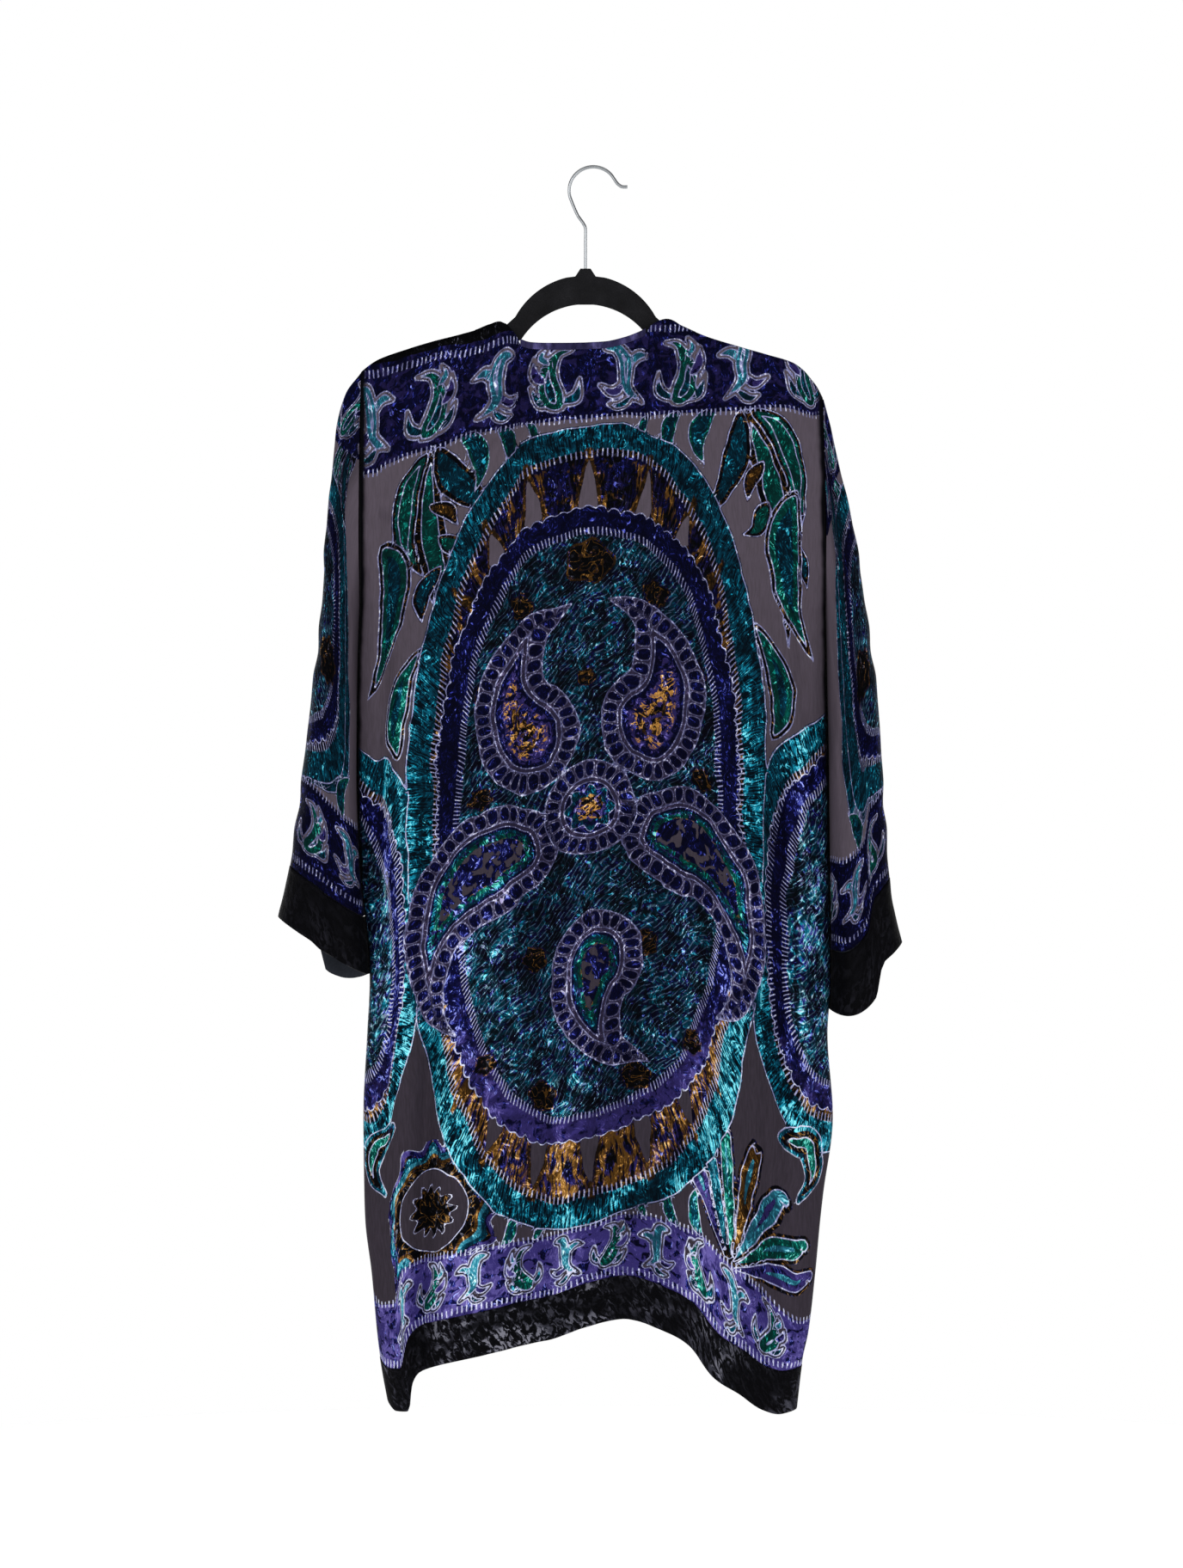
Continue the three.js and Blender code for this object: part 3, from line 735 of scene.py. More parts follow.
# Motifs of leaves: each leaf is (spine, half width, profile, fills, lines)
EDGED = (("a", -0.4),)
CURL_SPRIG = [
    ([(2, 26), (17, 20), (26, 4)], 4.5, "leaf", (("teal", 0),), EDGED),
    ([(-8, 26), (-22, 18), (-26, 2)], 4.5, "leaf", (("teal", 0),), EDGED),
    (
        [(-10, 30), (4, 14), (8, -6), (-2, -24), (-18, -27)],
        11,
        "paisley",
        (("green", 0), ("teal", -7)),
        (*EDGED, ("c", -7)),
    ),
    ([(9, 4), (20, -6), (21, -22)], 4.5, "leaf", (("violet", 0),), EDGED),
    ([(7, -12), (14, -22), (8, -31)], 3.5, "leaf", (("cyan", 0),), EDGED),
]
LEAF_SPRIG = [
    ([(2, -6), (14, -16), (28, -13)], 4.5, "leaf", (("cyan", 0),), EDGED),
    ([(3, 6), (-10, 15), (-24, 8)], 4.5, "leaf", (("violet", 0),), EDGED),
    ([(-20, -28), (-5, -26), (2, -8), (4, 12), (22, 28)], 7, "leaf", (("cyan", 0),), (*EDGED, ("c", -5))),
    ([(8, 20), (-3, 29), (-15, 27)], 4, "leaf", (("teal", 0),), EDGED),
]
CLAW = [([(0, -4), (9, 14), (7, 34), (-5, 50)], 10, "leaf", (("green", 0), ("teal", -4)), (("a", -0.6),))]
LONG_FILLS = (("black", 0), ("green", -4), ("teal", -11))
LONG_LEAF = [([(0, 0), (-16, 44), (-10, 96), (16, 140)], 19, "leaf", LONG_FILLS, (("a", 0), ("b", -4)))]
SPRAY_STEM = ((("black", 0), ("green", -7)), (("a", 0), ("b", -7)))
SPRAY_FROND = ((("black", 2), ("green", -2)), (("a", 1), ("b", -6)))
SPRAY = [
    ([(0, 0), (16, 70), (18, 150), (8, 232)], 17, "leaf", *SPRAY_STEM),
    ([(-4, 4), (-14, 44), (-40, 84), (-62, 96)], 14, "leaf", (("black", 2), ("teal", -3)), (("a", 1),)),
    ([(8, 6), (36, 40), (46, 92), (34, 130)], 14, "leaf", *SPRAY_FROND),
    ([(10, 96), (-8, 120), (-26, 124)], 10, "leaf", (("black", 1), ("green", -3)), (("c", 0),)),
    ([(14, 128), (36, 150), (40, 176)], 10, "leaf", (("black", 1), ("teal", -3)), (("c", 0),)),
    ([(14, 60), (-4, 74), (-12, 96)], 8, "leaf", (("black", 1), ("ochre", -3)), (("c", 0),)),
]
FAN_COLOURS = ("violet", "teal", "green", "ochre", "cyan", "green", "violet")
FAN_FILLS = (("teal", 2), ("black", -2), ("green", -7))
FAN_LEAF = [([(0, 0), (-30, -12), (-44, 16), (-26, 44)], 13, "leaf", FAN_FILLS, (("a", 2), ("b", -7)))]


def fan_motif(count, length, spread):
    """Petals that open like a fan, upwards, each in its own colour."""
    leaves = []
    for k in range(count):
        place = k / (count - 1) - 0.5
        angle = math.radians(spread * place)
        reach = length * (1 - 0.5 * abs(place))
        x, y = reach * math.sin(angle), -reach * math.cos(angle)
        curl = 0 if k == count // 2 else math.copysign(14, place)
        spine = [(0, 0), (x / 2, y / 2), (x + curl * 0.4, y), (x + curl, y + 4)]
        vein = "violet" if FAN_COLOURS[k] == "cyan" else "cyan"
        fills = (("black", 3), (FAN_COLOURS[k], 0), (vein, -7))
        leaves.append((spine, 10, "petal", fills, (("a", -0.5),)))
    return leaves


LARGE_ROSETTE = (
    ("violet", 1.5, 0.09),
    ("linea", 1.5, 0.09),
    ("black", 1.38, 0.09),
    ("teal", 1.33, 0.08),
    ("cyan", 1.22, 0.07),
    ("ochre", 1.12, 0.05),
    ("black", 1.04, 0.05),
    ("lineb", 0.86, 0.0),
    ("sheer", 0.84, 0.0),
    ("black", 0.46, 0.18),
    ("linec", 0.5, 0.18),
)
SMALL_ROSETTE = (("ochre", 1.0, 0.1), ("black", 0.88, 0.11), ("ochre", 0.46, 0.3), ("black", 0.34, 0.34))
CORE = (("teal", 1.0, 0.14), ("linea", 1.0, 0.14), ("black", 0.62, 0.12), ("ochre", 0.26, 0.0))
FIGURE = (("chain", 0), ("navy", -CHAIN))
FIGURE_LINES = (("a", 0), ("b", 4.5 - CHAIN), ("c", -CHAIN))
DARK = (("violet", -CHAIN - 8), ("navy", -CHAIN - 13), ("ochre", -CHAIN - 19), ("black", -CHAIN - 23))
LUSH = (("teal", -CHAIN - 3), ("green", -CHAIN - 7), ("sheer", -CHAIN - 12))

# Within the medallion, from its centre: places and sizes, for the right half
ROSETTES = (
    (0, -268, 23),
    (70, -232, 15),
    (112, -150, 13),
    (118, -44, 12),
    (60, 128, 14),
    (112, 226, 12),
    (52, 268, 15),
    (0, -150, 10),
)
PAISLEYS = (
    (((30, -52), (60, -92), (80, -146), (60, -204), (18, -228)), 54, DARK),
    (((34, 26), (84, 18), (138, 40), (172, 92), (170, 156), (142, 190)), 54, LUSH),
)
DROP = (((0, 92), (8, 140), (2, 190), (24, 236), (66, 252)), 50, LUSH)


def paint_figures(cloth, centre):
    """Paisleys with chain borders about a rosette, in a layout of its own, the same on both sides."""
    cx, cy = centre

    def paisley(spine, half, fills, side=1):
        moved = [(cx + side * x, cy + y) for x, y in spine]
        cloth.leaf(moved, half, "paisley", FIGURE + fills, FIGURE_LINES, chain=True)

    for x, y, radius in ROSETTES:
        for side in (-1, 1) if x else (1,):
            cloth.rosette((cx + side * x, cy + y), radius, 5, SMALL_ROSETTE, turn=x)
    for figure in PAISLEYS:
        paisley(*figure, side=-1)
        paisley(*figure)
    paisley(*DROP)
    round_ = np.radians(np.arange(0, 360, 6))
    circle = (cx, cy - 14) + 48 * np.stack([np.cos(round_), np.sin(round_)], 1)
    cloth.shape(circle, FIGURE, FIGURE_LINES, chain=True)
    cloth.rosette((cx, cy - 14), 22, 8, CORE)


def paint_sprigs(cloth, places, down, size, turns=(0, 0)):
    """A row of two sprigs in turn, every other pair mirrored."""
    for k, x in enumerate(places):
        sprig = CURL_SPRIG if k % 2 else LEAF_SPRIG
        mirror = 1 if k % 4 < 2 else -1
        cloth.motif(sprig, (x, down), turn=turns[k % 2], size=size, mirror=mirror, halo=2.5 * size**0.5)


def paint_body(cloth):
    """Bands at the yoke and hem, a large medallion between them and neighbours cut by the sides."""
    t = cloth.at[:, 1]
    cloth.paint("sheer", t * 0 + REACH)
    centre = MEDALLION["centre"]
    for side in (-1, 1):
        paint_medallion(cloth, (side * 318, centre[1] + 56), (142, 208), (96, 150), 7)
        cloth.motif(SPRAY, (side * 172, YOKE[1] - 4), turn=-side * 10, mirror=side)
        cloth.motif(FAN_LEAF, (side * 228, HEM_BAND[0] - 150), mirror=-side)
        cloth.motif(LONG_LEAF, (side * 232, 330), size=1.1, mirror=side)
        cloth.motif(LONG_LEAF, (side * 203, 572), turn=172, size=0.85, mirror=side)
        for k in range(3):
            yoke_claw, hem_claw = (side * (66 + 38 * k), YOKE[1]), (side * (66 + 33 * k), HEM_BAND[0])
            cloth.motif(CLAW, yoke_claw, turn=-18, size=0.6 + 0.3 * k, mirror=-side)
            cloth.motif(CLAW, hem_claw, turn=164, size=0.5 + 0.2 * k, mirror=side)
    cloth.motif(fan_motif(7, 128, 104), (172, HEM_BAND[0] + 4), turn=12)
    cloth.rosette((-176, 1040), 50, 12, LARGE_ROSETTE)
    paint_medallion(cloth, **MEDALLION, petals=14)
    paint_figures(cloth, centre)
    cloth.paint("navy", YOKE[1] - t)
    cloth.paint("black", YOKE[0] - 8 - t)
    paint_sprigs(cloth, range(-245, 246, 70), sum(YOKE) / 2, 1)
    cloth.paint("violet", t - HEM_BAND[0])
    paint_sprigs(cloth, range(-225, 226, 50), sum(HEM_BAND) / 2, 0.7, turns=(0, 14))


def paint_sleeve(cloth, length):
    """Sprigs at the shoulder and above the cuff, with the rim of a medallion between them."""
    t = cloth.at[:, 1]
    cloth.paint("sheer", t * 0 + REACH)
    band = [length + SLEEVE_END + place for place in SLEEVE_BAND]
    for side in (-1, 1):
        cloth.motif(LONG_LEAF, (side * 84, 70), turn=side * 8, size=1.5, mirror=side)
        paint_medallion(cloth, (side * 8, length - 250), (132, 158), (82, 104), 7)
        cloth.motif(SPRAY, (side * 62, 60), turn=side * 6, size=0.8, mirror=-side)
        cloth.motif(CLAW, (side * 40, band[0]), turn=160, size=0.8, mirror=side)
        cloth.motif(CLAW, (side * 96, band[0]), turn=200, size=1.0, mirror=side)
    cloth.rosette((70, length - 250), 20, 8, SMALL_ROSETTE)
    cloth.rosette((-52, length - 225), 24, 8, SMALL_ROSETTE)
    cloth.paint("navy", 74 - t)
    paint_sprigs(cloth, range(-210, 211, 60), 34, 1)
    cloth.paint("navy", t - band[0])
    paint_sprigs(cloth, range(-200, 201, 50), sum(band) / 2, 0.78)


# Meshes


def grid_faces(nu, nv, base=0, flip=False):
    j, i = np.mgrid[0 : nv - 1, 0 : nu - 1]
    a = base + j * nu + i
    quads = np.stack([a, a + 1, a + 1 + nu, a + nu], -1).reshape(-1, 4)
    return quads[:, ::-1] if flip else quads


def stitch(outer, inner, flip):
    """Triangles between an edge and one with half as many steps."""
    triangles = []
    for k in range(len(inner) - 1):
        a, b, c = outer[2 * k], outer[2 * k + 1], outer[2 * k + 2]
        triangles += [(inner[k], a, b), (inner[k], b, inner[k + 1]), (inner[k + 1], b, c)]
    faces = np.array(triangles)
    return faces[:, ::-1] if flip else faces


def new_object(name, data):
    made = bpy.data.objects.new(name, data)
    bpy.context.collection.objects.link(made)
    return made


def new_mesh(name, points, quads, triangles):
    mesh = bpy.data.meshes.new(name)
    faces = len(quads) + len(triangles)
    corners = np.concatenate([quads.ravel(), triangles.ravel()]).astype(np.int32)
    totals = np.concatenate([np.full(len(quads), 4), np.full(len(triangles), 3)])
    starts = np.concatenate([[0], np.cumsum(totals)[:-1]]).astype(np.int32)
    mesh.vertices.add(len(points))
    mesh.vertices.foreach_set("co", (points * MM).astype(np.float32).ravel())
    mesh.loops.add(len(corners))
    mesh.loops.foreach_set("vertex_index", corners)
    mesh.polygons.add(faces)
    mesh.polygons.foreach_set("loop_start", starts)
    mesh.update(calc_edges=True)
    return mesh


def laid_flat(middle):
    """The size and area in metres of a grid of cloth once it lies flat."""
    width = lengths(middle, 1)[len(middle) // 2 :, -1].max()
    length = lengths(middle, 0)[-1].max()
    falling, rising = middle[1:, 1:] - middle[:-1, :-1], middle[1:, :-1] - middle[:-1, 1:]
    area = np.linalg.norm(np.cross(falling, rising), axis=-1).sum() / 2
    return (float(width * MM), float(length * MM)), float(min(area, width * length) * MM**2)


def shell(name, point, us, vs, thickness, materials, attributes):
    """A wall of cloth about a surface, its inner side half as fine, with named attributes."""
    u, v = np.meshgrid(us, vs)
    step = 1e-4
    middle = point(u, v)
    along_u = point(np.minimum(u + step, us[-1]), v) - point(np.maximum(u - step, us[0]), v)
    along_v = point(u, np.minimum(v + step, vs[-1])) - point(u, np.maximum(v - step, vs[0]))
    normal = np.cross(along_u, along_v)
    normal /= np.linalg.norm(normal, axis=-1, keepdims=True)
    nu, nv = len(us), len(vs)
    outside = facing_out(middle, normal)
    outer = middle + outside * thickness / 2
    inner = (middle - outside * thickness / 2)[::2, ::2]
    iu, iv = inner.shape[1], inner.shape[0]
    count = nu * nv
    flip = np.sum(np.cross(along_u, along_v)[nv // 2, nu // 2] * outside[nv // 2, nu // 2]) < 0
    quads = np.concatenate([grid_faces(nu, nv, 0, flip), grid_faces(iu, iv, count, not flip)])
    o = np.arange(count).reshape(nv, nu)
    i = count + np.arange(iu * iv).reshape(iv, iu)
    rims = [stitch(o[0], i[0], not flip), stitch(o[-1], i[-1], flip)]
    rims += [stitch(o[:, 0], i[:, 0], flip), stitch(o[:, -1], i[:, -1], not flip)]
    triangles = np.concatenate(rims)
    points = np.concatenate([outer.reshape(-1, 3), inner.reshape(-1, 3)])
    mesh = new_mesh(name, points, quads, triangles)
    outer_faces = (nu - 1) * (nv - 1)
    slots = np.zeros(len(quads) + len(triangles), np.int32)
    slots[outer_faces : len(quads)] = 1
    mesh.polygons.foreach_set("material_index", slots)
    soft = np.ones(len(slots), bool)
    soft[len(quads) :] = False
    mesh.polygons.foreach_set("use_smooth", soft)
    for material in materials:
        mesh.materials.append(material)
    for key, values in attributes(u, v, middle).items():
        both = values.reshape(nv, nu, 3)
        packed = np.concatenate([both.reshape(-1, 3), both[::2, ::2].reshape(-1, 3)])
        mesh.attributes.new(key, "FLOAT_VECTOR", "POINT").data.foreach_set(
            "vector", packed.astype(np.float32).ravel()
        )
    piece = new_object(name, mesh)
    laid_flat(middle)
    return piece


def facing_out(middle, normal):
    """The normals turned away from the garment's inside, which lies about y = 0."""
    j, i = middle.shape[0] // 2, middle.shape[1] // 4
    return normal if normal[j, i, 1] * middle[j, i, 1] > 0 else -normal


def lengths(points, axis):
    """Length along the grid in one direction, from its start."""
    step = np.linalg.norm(np.diff(points, axis=axis), axis=-1)
    start = np.zeros_like(step[:1] if axis == 0 else step[:, :1])
    return np.concatenate([start, np.cumsum(step, axis=axis)], axis=axis)


def steps_over(length, cell=CELL):
    """An even number of steps over a length, from 0 to 1."""
    return np.linspace(0, 1, 2 * math.ceil(length / cell / 2) + 1)


def drawn_by_hand(s, t, seed):
    """Cloth coordinates moved a little, so that no line of the print runs quite true."""
    ds, dt = (2.6 * noise(s, t, 34, k) + 1.1 * noise(s, t, 12, k + 1) for k in (seed, seed + 2))
    return s + ds, t + dt


def side_gap(x, down):
    """Distance across the cloth to the nearer side seam."""
    return np.minimum(x - body_at("left", down), body_at("right", down) - x)


def seam_shade(gap, down):
    """Shade in the valley between a sleeve and the body, down to where the sleeve swings clear."""
    return np.exp(-((np.maximum(gap, 0) / VALLEY) ** 2)) * (1 - smooth(down, *SWINGS_CLEAR))


# Shares of the painted light on the body's pile: everywhere, at its sides, on their ridges, lower
# down, in glints and in broad patches
EVEN, AT_SIDES, ON_RIDGES, LOWER_DOWN, IN_GLINTS, IN_PATCHES = 0.06, 0.06, 0.45, 0.48, 0.6, 0.16


def body_cloth(side, middle):
    """Cloth coordinates of a body panel and the light and shade painted on its pile there."""
    x, down = middle[..., 0], -middle[..., 2]
    across, row = lengths(middle, 1), np.arange(len(x))
    column = np.abs(x - PRINT_X).argmin(1)
    s = (across - across[row, column][:, None]) * np.sign(x[:, -1:] - x[:, :1])
    s += x[row, column][:, None] - PRINT_X
    if side == "back":
        hem, upper, lower = HEM_BACK, *(read(YOKE_LINES, "x", edge, x) for edge in ("upper", "lower"))
    else:
        hem, upper, lower = HEM_FRONT, *(x * 0 + edge for edge in FRONT_YOKE)
    seam = read(hem, "across", "down", q_of(x, np.minimum(down, BODY["down"][-1])) * HEM_HALF) - BORDER
    foot = seam - BAND_CLEAR
    head = foot - read(BAND_HEIGHT, "x", "height", x)

    def between(start, end, low, high):
        return low + (down - start) * (high - low) / (end - start)

    band = np.where(down < head, between(lower, head, YOKE[1], HEM_BAND[0]), between(head, foot, *HEM_BAND))
    t = np.where(down < lower, between(upper, lower, *YOKE), band)
    out = np.abs(x)
    # Painted light and shade: brighter on the ridges of the folds and creases, at the sides, along two
    # lines near the side seams, lower down, in vertical glints and in broad patches; darker in the troughs
    # and in the valleys beside the sleeves
    folds = np.minimum(fold_depth(side, x, down) / 40 + crease_depth(side, x, down, 0.5) / 4, 0.25)
    side_light = AT_SIDES * smooth(out, 120, 220) * smooth(down, 250, 400)
    ridge_highlights = ON_RIDGES * np.exp(-(((out - 211) / 6) ** 2)) * smooth(down, 400, 520) * smooth(down, 940, 760)
    glints = IN_GLINTS * np.maximum(noise(x, down * 0.12, 13, 61) - 0.3, 0) * smooth(out, 40, 110)
    glints = glints * smooth(down, 330, 460) * smooth(down, 1010, 860)
    light = EVEN + side_light + ridge_highlights + LOWER_DOWN * smooth(down, 560, 1060) + glints
    light = np.clip(light + IN_PATCHES * noise(x, down, 90, 9) + folds, -0.25, 1)
    return *drawn_by_hand(s, t, 41), light - seam_shade(side_gap(x, down), down)


# Materials


class Value:
    """A node's output that does sums by adding Math nodes."""

    def __init__(self, graph, socket):
        self.graph, self.socket = graph, socket

    def __add__(self, other):
        return self.graph.math("ADD", self, other)

    def __sub__(self, other):
        return self.graph.math("SUBTRACT", self, other)

    def __rsub__(self, other):
        return self.graph.math("SUBTRACT", other, self)

    def __mul__(self, other):
        return self.graph.math("MULTIPLY", self, other)

    def __truediv__(self, other):
        return self.graph.math("DIVIDE", self, other)

    def __abs__(self):
        return self.graph.math("ABSOLUTE", self)

    def __pow__(self, other):
        return self.graph.math("POWER", self, other)


class Graph:
    """A material's node tree."""

    def __init__(self, name):
        self.material = bpy.data.materials.new(name)
        self.material.use_nodes = True
        self.tree = self.material.node_tree
        self.tree.nodes.clear()

    def node(self, kind, inputs=(), **settings):
        node = self.tree.nodes.new("ShaderNode" + kind)
        for key, value in settings.items():
            setattr(node, key, value)
        for key, value in dict(inputs).items():
            socket = node.inputs[key]
            if isinstance(value, Value):
                self.tree.links.new(value.socket, socket)
            else:
                socket.default_value = value
        return node

    def math(self, operation, *values):
        node = self.node("Math", dict(enumerate(values)), operation=operation)
        return Value(self, node.outputs[0])

    def attribute(self, name):
        source = self.node("Attribute", attribute_name=name)
        parts = self.node("SeparateXYZ", {0: Value(self, source.outputs["Vector"])})
        return [Value(self, output) for output in parts.outputs]

    def vector(self, x, y, z=0.0):
        return Value(self, self.node("CombineXYZ", {0: x, 1: y, 2: z}).outputs[0])

    def largest(self, first, *others):
        for other in others:
            first = self.math("MAXIMUM", first, other)
        return first

    def aside(self, steps):
        """How far a number of steps is from the middle of its step."""
        return abs(self.math("FRACT", steps) - 0.5)

    def noise(self, vector, size, detail=2, roughness=0.6, distortion=0.0):
        inputs = dict(Vector=vector, Scale=1 / size, Detail=detail)
        inputs.update(Roughness=roughness, Distortion=distortion)
        return Value(self, self.node("TexNoise", inputs, noise_dimensions="3D").outputs[0])

    def step(self, value, low, high, to_low=0.0, to_high=1.0):
        inputs = {0: value, 1: low, 2: high, 3: to_low, 4: to_high}
        node = self.node("MapRange", inputs, interpolation_type="SMOOTHSTEP")
        return Value(self, node.outputs[0])

    def mix(self, factor, a, b):
        inputs = {0: factor, 6: a, 7: b}
        return Value(self, self.node("Mix", inputs, data_type="RGBA").outputs[2])

    def ramp(self, factor, *stops):
        node = self.node("ValToRGB", {0: factor})
        elements = node.color_ramp.elements
        while len(elements) < len(stops):
            elements.new(0.5)
        for element, (place, colour) in zip(elements, stops):
            element.position = place
            element.color = rgba(colour)
        return Value(self, node.outputs[0])

    def bump(self, height):
        """The normal of a surface with a height in mm."""
        return Value(self, self.node("Bump", dict(Height=height, Distance=MM, Strength=1.0)).outputs[0])

    def surface(self, **inputs):
        named = {key.replace("_", " "): value for key, value in inputs.items()}
        shader = self.node("BsdfPrincipled", named)
        output = self.node("OutputMaterial")
        self.tree.links.new(shader.outputs[0], output.inputs[0])
        return self.material


def rgba(colour):
    """Linear colour from a hex sRGB one."""
    parts = [int(colour[i : i + 2], 16) / 255 for i in (1, 3, 5)]
    return [p / 12.92 if p < 0.04045 else ((p + 0.055) / 1.055) ** 2.4 for p in parts] + [1]


# Pile colours from shade to glint, and where on the way each one is
PILE_PLACES = (0.0, 0.3, 0.66, 1.0)
PILE = {
    "navy": ("#03030f", "#0c0e3a", "#3840a8", "#a4b0ff"),
    "teal": ("#020a12", "#063c50", "#1493b0", "#84ecf8"),
    "cyan": ("#0e2c3c", "#2f839a", "#78d4e4", "#e0fcff"),
    "green": ("#020c0e", "#04453f", "#0f9484", "#80eedc"),
    "violet": ("#0b081b", "#332c68", "#756ab6", "#c8c2f8"),
    "ochre": ("#080604", "#513614", "#c08a42", "#fad08a"),
    "black": ("#020203", "#09090c", "#23232c", "#6c6c7a"),
    "chain": ("#120f1b", "#2c273e", "#5a5174", "#aca4d0"),
}
PALE = (0.0, "#38385a"), (0.26, "#9294c2"), (0.7, "#e2e5fa")
STROKES = (0.0, "#151b2a"), (0.2, "#3c5068"), (0.5, "#6ca6bc"), (1.0, "#d4f4fa")
# The sheer ground's lower tones are darker: painted shade lower down
GROUND = ("#484149", "#4f4751"), ("#2e2930", "#363039")  # sheer ground, higher up and lower down
NAP = dict(Sheen_Weight=0.01, Sheen_Roughness=0.35, Specular_IOR_Level=0.015)

# Sizes in the crushed pile, in mm
SWAY, PATCH, CLUMP, STREAK, SPARKLE, SPARKLING = 26, 17, 5, 1.9, 2.6, 24


def pile_colour(graph, name, shine):
    return graph.ramp(shine, *zip(PILE_PLACES, PILE[name]))


def crush(graph, s, t, light):
    """Painted sheen and highlights of crushed pile at a place: its even shine, its glints, the clumps that
    glint and broad patches.
    """
    bent = (graph.noise(graph.vector(s, t, 80.0), SWAY, 2, 0.5) - 0.5) * 34
    patch = graph.noise(graph.vector(s, t), PATCH, 3, 0.6, 0.8)
    clump = graph.noise(graph.vector(s + bent, t * 0.5, 40.0), CLUMP, 3, 0.65, 1.0)
    streak = graph.noise(graph.vector(s + bent, t * 0.36), STREAK, 2, 0.6, 0.6)
    fine = graph.noise(graph.vector(s + bent, t * 0.45, 15.0), SPARKLE, 2, 0.6, 0.8)
    rich = graph.noise(graph.vector(s, t * 0.6, 25.0), SPARKLING, 3, 0.65, 0.8)
    broad = graph.step(patch + (clump - 0.5) * 0.35, 0.38, 0.58)
    clump = graph.step(clump, 0.44, 0.6)
    streak = graph.step(streak, 0.46, 0.64)
    light = graph.largest(light, 0.0)
    level = (light * light * 0.64 + 0.05) * (broad * 0.8 + 0.2)
    glint = streak * (clump * 0.7 + 0.05) * (light * 0.8 + 0.38) * (broad * 0.65 + 0.35)
    # Painted sparkles: sparse bright glints, fewer where the painted light is high
    sparkle = graph.step(fine, 0.57, 0.68) * graph.step(rich, 0.47, 0.6) * (0.75 - light * 0.65)
    return level, glint * 1.15 + sparkle + (streak - 0.5) * level * 0.5, streak * clump, broad


